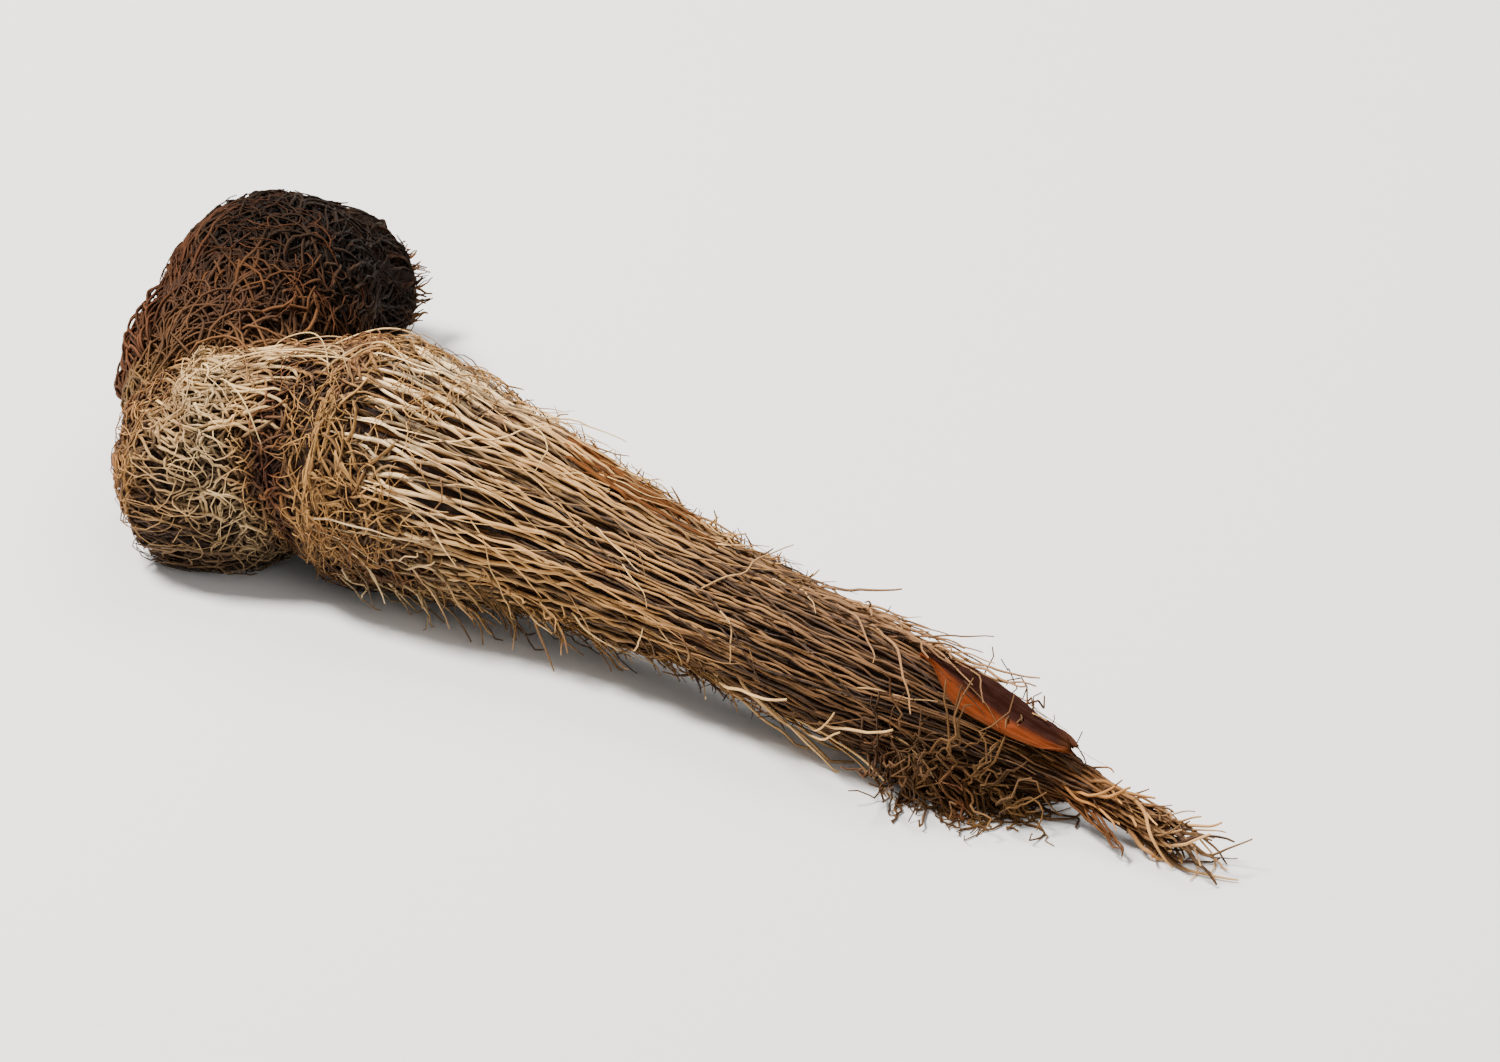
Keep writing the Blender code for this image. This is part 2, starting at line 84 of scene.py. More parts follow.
camera = facing("camera", bpy.data.cameras.new("camera"), azimuth=38, elevation=24, distance=1.3)
camera.data.lens = CAMERA_LENS
camera.data.clip_start = 0.01
scene.camera = camera

for name, azimuth, elevation, distance, size, watts, colour in (
    ("window_left", -70, 58, 0.6, 0.16, 11.0, (1.0, 0.97, 0.92)),
    ("window_right", 60, 35, 0.7, 0.5, 1.4, (1.0, 1.0, 1.0)),
    ("window_back", 190, 55, 0.7, 0.4, 3.5, (1.0, 0.99, 0.97)),
):
    light = facing(name, bpy.data.lights.new(name, "AREA"), azimuth, elevation, distance)
    light.data.size = size
    light.data.energy = watts
    light.data.color = colour

sky = bpy.data.worlds.new("sky")
sky.use_nodes = True
sky_shader = sky.node_tree.nodes["Background"]
sky_shader.inputs["Color"].default_value = SKY_COLOUR
sky_shader.inputs["Strength"].default_value = SKY_STRENGTH
scene.world = sky

bpy.ops.mesh.primitive_plane_add(size=FLOOR_SIZE, location=(0, 0, 0))
floor = bpy.context.object
floor.name = "floor"
floor_paint = bpy.data.materials.new("floor_paint")
floor_paint.use_nodes = True
floor_shader = floor_paint.node_tree.nodes["Principled BSDF"]
floor_shader.inputs["Base Color"].default_value = FLOOR_COLOUR
floor_shader.inputs["Roughness"].default_value = 0.6
floor.data.materials.append(floor_paint)


# The rhizome under the coat
# A woody stem, dark with soil and shrunk by drying, that shows only in the gaps between the fibres. It is
# swept along the root's axis, from the rounded knob to the thin tail, and a second one is the crown's.
MM = 0.001
IN_MM = 1000.0
TURN = 2 * math.pi
KNOB_AT = Vector((-29.308, -12.769, 0.0))  # of the knob's middle on the floor, in mm
KNOB_RADIUS, KNOB_HEIGHT = 6.85, 6.3
DOME_STATIONS = 4  # that round off the knob before the first station
ROOT_STATIONS = [  # x, y, z and radius in mm, from the knob's middle
    (0.0, 0.0, KNOB_HEIGHT, KNOB_RADIUS),
    (4.6, 1.4, 7.9, 5.8),
    (9.5, 2.7, 7.9, 7.4),
    (14.0, 2.7, 7.9, 6.85),
    (19.0, 2.6, 7.6, 6.0),
    (25.0, 2.5, 7.2, 5.1),
    (32.7, 1.6, 6.6, 4.15),
    (40.6, 0.7, 6.1, 3.65),
    (47.2, 0.1, 5.5, 3.65),
    (52.6, 0.0, 4.8, 3.45),
    (57.0, 0.2, 4.1, 2.9),
    (61.5, 0.7, 3.2, 2.1),
    (66.2, 0.7, 2.4, 1.2),
    (71.5, 0.2, 1.7, 0.85),
    (75.4, -0.3, 1.1, 0.6),
]
CROWN_STATIONS = [
    (0.0, 1.5, 7.6, 4.4),
    (-3.4, 6.6, 9.7, 6.2),
    (-7.0, 12.2, 10.6, 6.2),
    (-10.2, 18.0, 9.2, 5.5),
    (-12.2, 23.2, 6.6, 5.0),
    (-13.4, 27.4, 4.7, 4.6),
    (-13.9, 30.0, 3.6, 3.4),
]
SLIMMER_FROM, SLIMMER_OVER = 54, 36  # past x = 54 mm the tail's core loses 1 mm of radius every 36 mm
LUMP, LUMP_SIZE = 0.10, 9.0  # a share of the radius, and mm
FLOOR_GAP = 0.02 * MM


class Wire:
    """A socket of a node tree. Arithmetic on it adds Math nodes, and node() adds any other node."""

    def __init__(self, socket):
        self.socket = socket
        self.tree = socket.id_data

    @classmethod
    def node(cls, tree, kind, settings=None, inputs=None, output=0):
        """A new node: its settings first, then its sockets' values or links. Gives one of its outputs."""
        made = tree.nodes.new(kind)
        for name, value in (settings or {}).items():
            if name == "stops":
                for place, colour in value[len(made.color_ramp.elements):]:
                    made.color_ramp.elements.new(place)
                for element, (place, colour) in zip(made.color_ramp.elements, value):
                    element.position, element.color = place, colour
            elif name == "captures":
                for item in value:
                    made.capture_items.new("FLOAT", item)
            else:
                setattr(made, name, value)
        for name, value in (inputs or {}).items():
            socket = cls.pick(made.inputs, name)
            if isinstance(value, Wire):
                tree.links.new(value.socket, socket)
            else:
                socket.default_value = value
        return cls(cls.pick(made.outputs, output))

    @staticmethod
    def pick(sockets, name):
        """A socket by its name, or by its place among those that the node's settings leave open."""
        shown = [s for s in sockets if s.enabled]
        return shown[name] if isinstance(name, int) else next(s for s in shown if s.name == name)

    def out(self, name):
        """Another output of the same node."""
        return Wire(self.pick(self.socket.node.outputs, name))

    def maths(self, operation, *others):
        values = dict(enumerate((self, *others)))
        return Wire.node(self.tree, "ShaderNodeMath", {"operation": operation}, values)

    def __add__(self, other):
        return self.maths("ADD", other)

    def __sub__(self, other):
        return self.maths("SUBTRACT", other)

    def __mul__(self, other):
        return self.maths("MULTIPLY", other)

    def __truediv__(self, other):
        return self.maths("DIVIDE", other)

    def __pow__(self, other):
        return self.maths("POWER", other)

    def __rsub__(self, other):
        return Wire.node(self.tree, "ShaderNodeMath", {"operation": "SUBTRACT"}, {0: other, 1: self})

    def __rtruediv__(self, other):
        return Wire.node(self.tree, "ShaderNodeMath", {"operation": "DIVIDE"}, {0: other, 1: self})

    __radd__ = __add__
    __rmul__ = __mul__

    def smooth(self, low, high):
        """0 below low and 1 above high, with a smooth step between them."""
        values = {"Value": self, "From Min": low, "From Max": high}
        return Wire.node(self.tree, "ShaderNodeMapRange", {"interpolation_type": "SMOOTHSTEP"}, values)


def vector(tree, operation, *values):
    return Wire.node(tree, "ShaderNodeVectorMath", {"operation": operation}, dict(enumerate(values)))


def xyz(tree, x, y, z):
    return Wire.node(tree, "ShaderNodeCombineXYZ", None, {"X": x, "Y": y, "Z": z})


def axis(tree, place, name):
    return Wire.node(tree, "ShaderNodeSeparateXYZ", None, {"Vector": place}, name)


def cloud(tree, place, scale=1.0, detail=2.0, shift=None, output=0):
    """Noise round 0.5 at a place, or at one aside of it, so that it differs from another reading there."""
    if shift:
        place = vector(tree, "ADD", place, shift)
    values = {"Vector": place, "Scale": scale, "Detail": detail}
    return Wire.node(tree, "ShaderNodeTexNoise", None, values, output)


def noise(tree, place, size, detail=1.0, shift=None):
    """Noise from -1 to 1 at a place, with lumps of this size in metres."""
    return cloud(tree, place, 1 / size, detail, shift) * 2.0 - 1.0


def captured(tree, geometry, **values):
    """The geometry with fields as they are now. They are read back as further outputs of the node."""
    inputs = {"Geometry": geometry, **values}
    return Wire.node(tree, "GeometryNodeCaptureAttribute", {"captures": tuple(values)}, inputs)


def spelled(values):
    """Inputs by their full names: a space for each _, and Min and Max for two values in brackets."""
    full = {}
    for key, value in values.items():
        label = key.replace("_", " ")
        if isinstance(value, tuple):
            full[label + " Min"], full[label + " Max"] = value
        else:
            full[label] = value
    return full


def new_tree(name, lengths, numbers, counts):
    """A geometry tree, its named inputs and the guide that it follows. Lengths are given in mm."""
    tree = bpy.data.node_groups.new(name, "GeometryNodeTree")
    tree.interface.new_socket("Geometry", in_out="OUTPUT", socket_type="NodeSocketGeometry")
    tree.interface.new_socket("Guide", in_out="INPUT", socket_type="NodeSocketObject")
    tree.interface.new_socket("Finish", in_out="INPUT", socket_type="NodeSocketMaterial")
    for kind, subtype, scale, inputs in (
        ("Float", "DISTANCE", MM, lengths), ("Float", "NONE", 1, numbers), ("Int", "NONE", 1, counts),
    ):
        for label, value in spelled(inputs).items():
            socket = tree.interface.new_socket(label, in_out="INPUT", socket_type="NodeSocket" + kind)
            socket.subtype = subtype
            socket.default_value = value * scale
    entry = tree.nodes.new("NodeGroupInput")
    given = SimpleNamespace(**{s.name.replace(" ", "_"): Wire(s) for s in entry.outputs if s.name})
    guide = Wire.node(tree, "GeometryNodeObjectInfo", None, {"Object": given.Guide}, "Geometry")
    return tree, given, guide


def end_tree(tree, mesh, given):
    """Ends a tree in plain, smooth geometry with its finish."""
    mesh = Wire.node(tree, "GeometryNodeSetShadeSmooth", None, {"Geometry": mesh})
    mesh = Wire.node(tree, "GeometryNodeRealizeInstances", None, {"Geometry": mesh})
    mesh = Wire.node(tree, "GeometryNodeSetMaterial", None, {"Geometry": mesh, "Material": given.Finish})
    leave = tree.nodes.new("NodeGroupOutput")
    tree.links.new(mesh.socket, leave.inputs["Geometry"])
    return tree


def grow(name, tree, slot, guide, finish, **values):
    """What a tree makes along a guide, as a plain mesh that rides on the root. Lengths are in mm."""
    values = {"Guide": guide, "Finish": finish, **spelled(values)}
    host = bpy.data.objects.new(name + "_host", bpy.data.meshes.new(name))
    scene.collection.objects.link(host)
    modifier = host.modifiers.new("grow", "NODES")
    modifier.node_group = tree
    for item in tree.interface.items_tree:
        if item.in_out == "INPUT" and item.name in values:
            value = values.pop(item.name)
            is_length = getattr(item, "subtype", "") == "DISTANCE"
            modifier[item.identifier] = value * MM if is_length else value
    if values:
        raise KeyError(f"{name}: the tree has no input {sorted(values)}")
    graph = bpy.context.evaluated_depsgraph_get()
    mesh = bpy.data.meshes.new_from_object(
        host.evaluated_get(graph), preserve_all_data_layers=True, depsgraph=graph
    )
    bpy.data.objects.remove(host)
    mesh.name = name
    piece = bpy.data.objects.new(name, mesh)
    scene.collection.objects.link(piece)
    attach(piece, "root")
    return piece


def smooth_stations(stations, steps=24):
    """Points of x, y, z and radius on a smooth curve through the stations."""
    points = [Vector(s) for s in stations]
    last = len(points) - 1
    made = []
    for i in range(last):
        a, b, c, d = (points[min(max(k, 0), last)] for k in range(i - 1, i + 3))
        for step in range(steps):
            f = step / steps
            bend = (2 * a - 5 * b + 4 * c - d) * f**2 + (3 * b - a - 3 * c + d) * f**3
            made.append(0.5 * (2 * b + (c - a) * f + bend))
    return [*made, points[last]]


def guide_curve(name, stations):
    """The axis of a stem as a curve that carries its radius."""
    curve = bpy.data.curves.new(name, "CURVE")
    curve.dimensions = "3D"
    points = smooth_stations(stations)
    spline = curve.splines.new("POLY")
    spline.points.add(len(points) - 1)
    for point, (x, y, z, radius) in zip(spline.points, points):
        point.co = ((Vector((x, y, z)) + KNOB_AT) * MM).to_4d()
        point.radius = radius * MM
    guide = bpy.data.objects.new(name, curve)
    scene.collection.objects.link(guide)
    return guide


def length_at(guide, x=math.inf):
    """The length along a guide, in mm, to where it passes x mm from the knob's middle, or to its end."""
    points = [p.co.to_3d() for p in guide.data.splines[0].points]
    travelled = 0.0
    for a, b in zip(points, points[1:]):
        if b.x >= (x + KNOB_AT.x) * MM:
            break
        travelled += (b - a).length
    return travelled / MM


def radius_at(tree, guide, along):
    """The radius of a stem at a length along its guide. The node's other outputs say where it is."""
    values = {"Curves": guide, "Value": Wire.node(tree, "GeometryNodeInputRadius"), "Length": along}
    return Wire.node(tree, "GeometryNodeSampleCurve", {"mode": "LENGTH"}, values)


def skin(tree, guide, along, around, lift):
    """The point on a stem's lumpy skin at a length along its guide and an angle round it, lifted."""
    radius = radius_at(tree, guide, along)
    middle, ahead = radius.out("Position"), radius.out("Tangent")
    side = vector(tree, "NORMALIZE", vector(tree, "CROSS_PRODUCT", ahead, (0.0, 0.0, 1.0)))
    up = vector(tree, "CROSS_PRODUCT", side, ahead)
    level = vector(tree, "SCALE", side, around.maths("COSINE"))
    outward = vector(tree, "ADD", level, vector(tree, "SCALE", up, around.maths("SINE")))
    surface = vector(tree, "MULTIPLY_ADD", outward, xyz(tree, radius, radius, radius), middle)
    reach = radius * (1.0 + LUMP * noise(tree, surface, LUMP_SIZE * MM)) + lift
    return vector(tree, "ADD", middle, vector(tree, "SCALE", outward, reach))


def above_floor(tree, place, least):
    """The place, no lower than this over the floor."""
    height = axis(tree, place, "Z").maths("MAXIMUM", least)
    return xyz(tree, axis(tree, place, "X"), axis(tree, place, "Y"), height)


def sweep(tree, line, sides, scale=1.0):
    """A capped tube along a line. It gives the tube, and the turn of each of its points round the line."""
    ring = Wire.node(tree, "GeometryNodeCurvePrimitiveCircle", None, {"Resolution": sides, "Radius": 1.0})
    ring = captured(tree, ring, turn=Wire.node(tree, "GeometryNodeSplineParameter", None, None, "Factor"))
    values = {"Curve": line, "Profile Curve": ring, "Scale": scale, "Fill Caps": True}
    return Wire.node(tree, "GeometryNodeCurveToMesh", None, values), ring.out("turn")


def moved(tree, geometry, place):
    return Wire.node(tree, "GeometryNodeSetPosition", None, {"Geometry": geometry, "Position": place})


def rhizome_tree():
    """A stem with uneven bark, swept along its guide."""
    tree, given, guide = new_tree("rhizome", dict(Lift=-0.3, Roughness=0.18), {}, dict(Sides=60))
    length = Wire.node(tree, "GeometryNodeSplineParameter", None, None, "Length")
    line = captured(tree, guide, along=length)
    tube, turn = sweep(tree, line, given.Sides)
    along, around = line.out("along"), turn * TURN
    smooth_skin = skin(tree, guide, along, around, 0.0)
    rough = noise(tree, smooth_skin, size=1.6 * MM, detail=3.0) * given.Roughness + given.Lift
    place = above_floor(tree, skin(tree, guide, along, around, rough), FLOOR_GAP)
    return end_tree(tree, moved(tree, tube, place), given)


def paint(code):
    """A colour that is written as on a paint chart, such as E8D5B0, in Blender's linear values."""
    levels = [int(code[i:i + 2], 16) / 255 for i in (0, 2, 4)]
    return (*[c / 12.92 if c <= 0.04045 else ((c + 0.055) / 1.055) ** 2.4 for c in levels], 1.0)


def mixed(tree, share, a, b):
    return Wire.node(tree, "ShaderNodeMix", {"data_type": "RGBA"}, {"Factor": share, "A": a, "B": b})


def finish(name, roughness):
    """A new material, its tree and the Object coordinates in it."""
    made = bpy.data.materials.new(name)
    made.use_nodes = True
    made.node_tree.nodes["Principled BSDF"].inputs["Roughness"].default_value = roughness
    return made, made.node_tree, Wire.node(made.node_tree, "ShaderNodeTexCoord", None, None, "Object")


def coated(tree, colour, height=None, strength=0.0, depth=0.0):
    """Gives a material its colour and, where there is a height, its bump."""
    shader = tree.nodes["Principled BSDF"]
    tree.links.new(colour.socket, shader.inputs["Base Color"])
    if height:
        bump = {"Strength": strength, "Distance": depth, "Height": height}
        tree.links.new(Wire.node(tree, "ShaderNodeBump", None, bump).socket, shader.inputs["Normal"])


def bark_finish(name, dark, light):
    """Woody bark, dark with soil, with a granular bump."""
    made, tree, place = finish(name, 0.95)
    patches = noise(tree, place, size=1.2 * MM, detail=4.0).smooth(-0.4, 0.6)
    grain = noise(tree, place, size=0.25 * MM, detail=3.0)
    coated(tree, mixed(tree, patches, paint(dark), paint(light)), grain, strength=0.6, depth=0.1 * MM)
    return made


dome_angles = [math.pi / 2 * (i + 0.1) / DOME_STATIONS for i in range(DOME_STATIONS)]
dome = [(-KNOB_RADIUS * math.cos(a), 0.0, KNOB_HEIGHT, KNOB_RADIUS * math.sin(a)) for a in dome_angles]
root_guide = guide_curve("root_guide", dome + ROOT_STATIONS)
core_stations = [(x, y, z, r - max(0.0, (x - SLIMMER_FROM) / SLIMMER_OVER)) for x, y, z, r in ROOT_STATIONS]
core_guide = guide_curve("core_guide", dome + core_stations)
crown_guide = guide_curve("crown_guide", CROWN_STATIONS)
rhizome = rhizome_tree()
root_bark = bark_finish("root_bark", "160B06", "3A2010")
crown_bark = bark_finish("crown_bark", "0C0605", "1E100A")

root_core = grow("root_core", rhizome, "straw_coat", core_guide, root_bark)
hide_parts("rootstock")
crown_core = grow("crown_core", rhizome, "dark_crown", crown_guide, crown_bark)
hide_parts("crown")


# The coat of long strands
# The skeletons of old leaf bases: flat wavy strands that run side by side from the shoulder to the tail,
# touch their neighbours, part again and leave narrow dark gaps, like a drawn-out net.
APART = 7.31  # between the noises that neighbouring strands read
MEAN_RADIUS = 6.0  # of the root in mm, for noise that closes round it
DRIFT = 11.0  # of the net's waves, in radians
DIP = 0.35  # in mm, of a strand's ends under the others


def planted(tree, places, thing):
    many = Wire.node(tree, "GeometryNodeInstanceOnPoints", None, {"Points": places, "Instance": thing})
    return Wire.node(tree, "GeometryNodeRealizeInstances", None, {"Geometry": many})


def bundle(tree, starts, points, **kept):
    """A straight line for each starting point, its points' places on it, and what is kept of its start."""
    keep = captured(tree, starts, **kept)
    line = Wire.node(tree, "GeometryNodeCurvePrimitiveLine", None, {"Start": (0, 0, 0), "End": (1, 0, 0)})
    line = Wire.node(tree, "GeometryNodeResampleCurve", None, {"Curve": line, "Count": points})
    share = Wire.node(tree, "GeometryNodeSplineParameter", None, None, "Factor")
    own = SimpleNamespace(**{name: keep.out(name) for name in kept})
    return planted(tree, keep, line), share, own


def stored(tree, geometry, **values):
    """The geometry with values kept on its points under their names, for its finish to read."""
    for name, value in values.items():
        inputs = {"Geometry": geometry, "Name": name, "Value": value}
        geometry = Wire.node(tree, "GeometryNodeStoreNamedAttribute", {"domain": "POINT"}, inputs)
    return geometry


def crooked(tree, place, scale, amount, shift=None):
    """A random step to any side, of up to about half of this amount."""
    step = vector(tree, "SUBTRACT", cloud(tree, place, scale, 1.0, shift, "Color"), (0.5, 0.5, 0.5))
    return vector(tree, "SCALE", step, amount)


def picker(tree, seed):
    """A function that draws a value between two others for each point, from its own stream."""
    number = Wire.node(tree, "GeometryNodeInputIndex")

    def draw(stream, low=0.0, high=1.0):
        values = {"Min": low, "Max": high, "ID": number, "Seed": seed + stream}
        return Wire.node(tree, "FunctionNodeRandomValue", {"data_type": "FLOAT"}, values)

    return draw


def strand_tree():
    """Strands side by side round a stem, each swaying against its neighbours."""
    lengths = dict(
        From=0, From_Spread=0, Slant=0, To=50, To_Spread=0, Settle=30, Cell=4,
        Lift=0.1, Lift_Spread=0.1, Thickness=0.16, Full_At=6.5, Wobble=0.1,
    )
    numbers = dict(Twist=0.0, Sway=0.4, Stray=0.8)
    counts = dict(Count=80, Points=90, Sides=4, Seed=1)
    tree, given, guide = new_tree("strands", lengths, numbers, counts)
    draw = picker(tree, given.Seed)
    number = Wire.node(tree, "GeometryNodeInputIndex")
    pitch = TURN / given.Count
    top = (number * pitch).maths("SINE").smooth(0.0, 0.9)
    starts = Wire.node(tree, "GeometryNodePoints", None, {"Count": given.Count})
    many, share, own = bundle(
        tree, starts, given.Points, number=number, tint=draw(3), girth=draw(4, 0.7, 1.25),
        low=given.From + draw(1, -1.0) * given.From_Spread - top * given.Slant,
        high=given.To + draw(2, -1.0) * given.To_Spread,
    )
    along = own.low + (own.high - own.low) * share
    middle = own.number * pitch
    level, raised = middle.maths("COSINE") * MEAN_RADIUS, middle.maths("SINE") * MEAN_RADIUS
    spot = xyz(tree, along * IN_MM, level, raised)
    apart = xyz(tree, along * IN_MM, own.number * APART, 0.0)

    # Neighbours sway to opposite sides and so meet and part, and each strays a little by itself.
    drift = cloud(tree, spot, scale=0.22) * DRIFT
    wave = (along * TURN / given.Cell + drift).maths("SINE")
    hand = 1.0 - 2.0 * own.number.maths("MODULO", 2.0)
    calm = cloud(tree, spot, scale=0.3, shift=(50.0, 8.0, 3.0)).smooth(0.3, 0.65)
    settled = 1.0 - 0.6 * ((along - own.low) / given.Settle).smooth(0.0, 1.0)
    sway = hand * wave * given.Sway * (0.4 + 0.6 * calm) * settled
    stray = cloud(tree, apart, scale=0.16, detail=3.0) - 0.5
    around = middle + pitch * (sway + stray * 2.0 * given.Stray) + along * given.Twist

    # They rise and sink a little, and dip under the others at both ends.
    height = cloud(tree, apart, scale=0.45, shift=(31.0, 9.0, 4.0))
    ends = share.smooth(0.0, 0.04) * (1.0 - share.smooth(0.93, 1.0))
    lift = given.Lift + (height - 0.5) * 2.0 * given.Lift_Spread - (1.0 - ends) * DIP * MM
    crook = crooked(tree, apart, 0.4, given.Wobble * 2.0, shift=(17.0, 2.0, 50.0))
    place = vector(tree, "ADD", skin(tree, guide, along, around, lift), crook)
    place = above_floor(tree, place, given.Thickness)

    # They are slimmer where the stem is slim, and towards their ends.
    swell = 0.8 + 0.45 * cloud(tree, apart, scale=0.8, shift=(5.0, 3.0, 77.0))
    slim = 0.3 + 0.7 * (radius_at(tree, guide, along) / given.Full_At).maths("MINIMUM", 1.0)
    girth = given.Thickness * own.girth * swell * slim * (0.35 + 0.65 * ends)
    many = stored(tree, many, tint=own.tint, along=along, height=height)
    tube, _ = sweep(tree, moved(tree, many, place), given.Sides, girth)
    return end_tree(tree, tube, given)


def read(tree, name):
    """A value that was stored on the mesh under a name."""
    return Wire.node(tree, "ShaderNodeAttribute", {"attribute_name": name}, None, "Fac")


def fibre_finish(
    name, stops, dirt_and_shade, rust="7E4420", rusty=0.0, hollow_shade_and_dirt=0.6, drift=5.0, floor_shade=0.0, mottle=0.5, gloss=0.18
):
    """Dry plant fibre. Its colour runs along the guide through the stops, from mm to colour."""
    made, tree, place = finish(name, 0.9 - gloss)
    first, last = min(stops), max(stops)
    patch = noise(tree, place, size=7.0 * MM, detail=3.0)
    where = (read(tree, "along") * IN_MM + patch * drift - first) / (last - first)
    ramp = [((x - first) / (last - first), paint(code)) for x, code in stops.items()]
    colour = Wire.node(tree, "ShaderNodeValToRGB", {"stops": ramp}, {"Fac": where}, "Color")

    # Rusty spots, dirt on duller fibres, painted shade with dirt in the hollows, painted shade near the
    # floor.
    spots = noise(tree, place, size=3.5 * MM, detail=4.0, shift=(0.13, 0.2, 0.07))
    colour = mixed(tree, (spots + rusty).smooth(0.15, 0.6) * 0.75, colour, paint(rust))
    fine = noise(tree, place, size=0.9 * MM, detail=3.0)
    dull = read(tree, "tint").smooth(0.3, 0.95) * mottle + fine.smooth(-0.1, 0.9) * 0.35
    # Painted shade with dirt: fibres that lie lower among the others are darker.
    deep_shade_and_dirt = (1.0 - read(tree, "height").smooth(0.2, 0.6)) * hollow_shade_and_dirt
    # Painted shade: fibres close to the floor are darker.
    low = (1.0 - axis(tree, place, "Z").smooth(1.0 * MM, 7.0 * MM)) * floor_shade
    for share in (dull.maths("MINIMUM", 1.0), deep_shade_and_dirt, low):
        colour = mixed(tree, share, colour, paint(dirt_and_shade))
    coated(tree, colour)
    tree.nodes["Principled BSDF"].inputs["Specular IOR Level"].default_value = gloss
    return made


def root_x(x):
    """The length along the root's guide, in mm, at x mm past the knob's middle."""
    return length_at(root_guide, x)


coat_fibre = fibre_finish(
    "coat_fibre",
    {8: "DDB27A", 21: "F8D6A2", 30: "D0A064", 42: "A87B48", 54: "7C5630", 66: "5E3E20", 82: "9A6C38"},
    "1E0F06", floor_shade=0.4, drift=5.0, mottle=0.84, hollow_shade_and_dirt=0.75, gloss=0.24,
)
under_fibre = fibre_finish(
    "under_fibre",
    {8: "7A5228", 30: "5E3E20", 52: "402812", 66: "462C14", 82: "8A5C2C"},
    "1C0F08", floor_shade=0.4,
)
strands = strand_tree()
grow(
    "coat_under", strands, "straw_coat", root_guide, under_fibre, Count=80, Points=64, From=root_x(12.5),
    From_Spread=2, Slant=3, To=root_x(66), To_Spread=3, Cell=9, Sway=0.3, Twist=5.0, Stray=0.5, Lift=-0.22,
    Lift_Spread=0.12, Thickness=0.15, Seed=3,
)
grow(
    "coat_over", strands, "straw_coat", root_guide, coat_fibre, Count=80, Points=130, From=root_x(17),
    From_Spread=2.5, Slant=7, To=root_x(64), To_Spread=4, Cell=7, Sway=0.44, Twist=5.0, Stray=0.3,
    Wobble=0.36, Lift=0.22, Lift_Spread=0.28, Thickness=0.15, Seed=30,
)


# Felt on the knob and the shoulder
# Fine fibres, broken short, that have curled and matted: thick on the knob, with gaps on the shoulder, and
# thin over the coat's back. Thicker, paler ones lie on the knob's top, and a loose fuzz stands off the
# whole end.
THIN_STEM = 1.2 * MM  # no fibre winds round a stem as if it were thinner
STRAIGHT = 0.001  # keeps the bend of a straight fibre off zero
HEIGHT_SHIFT = 0.02  # in mm, what the finish takes a fibre to be higher than it lies


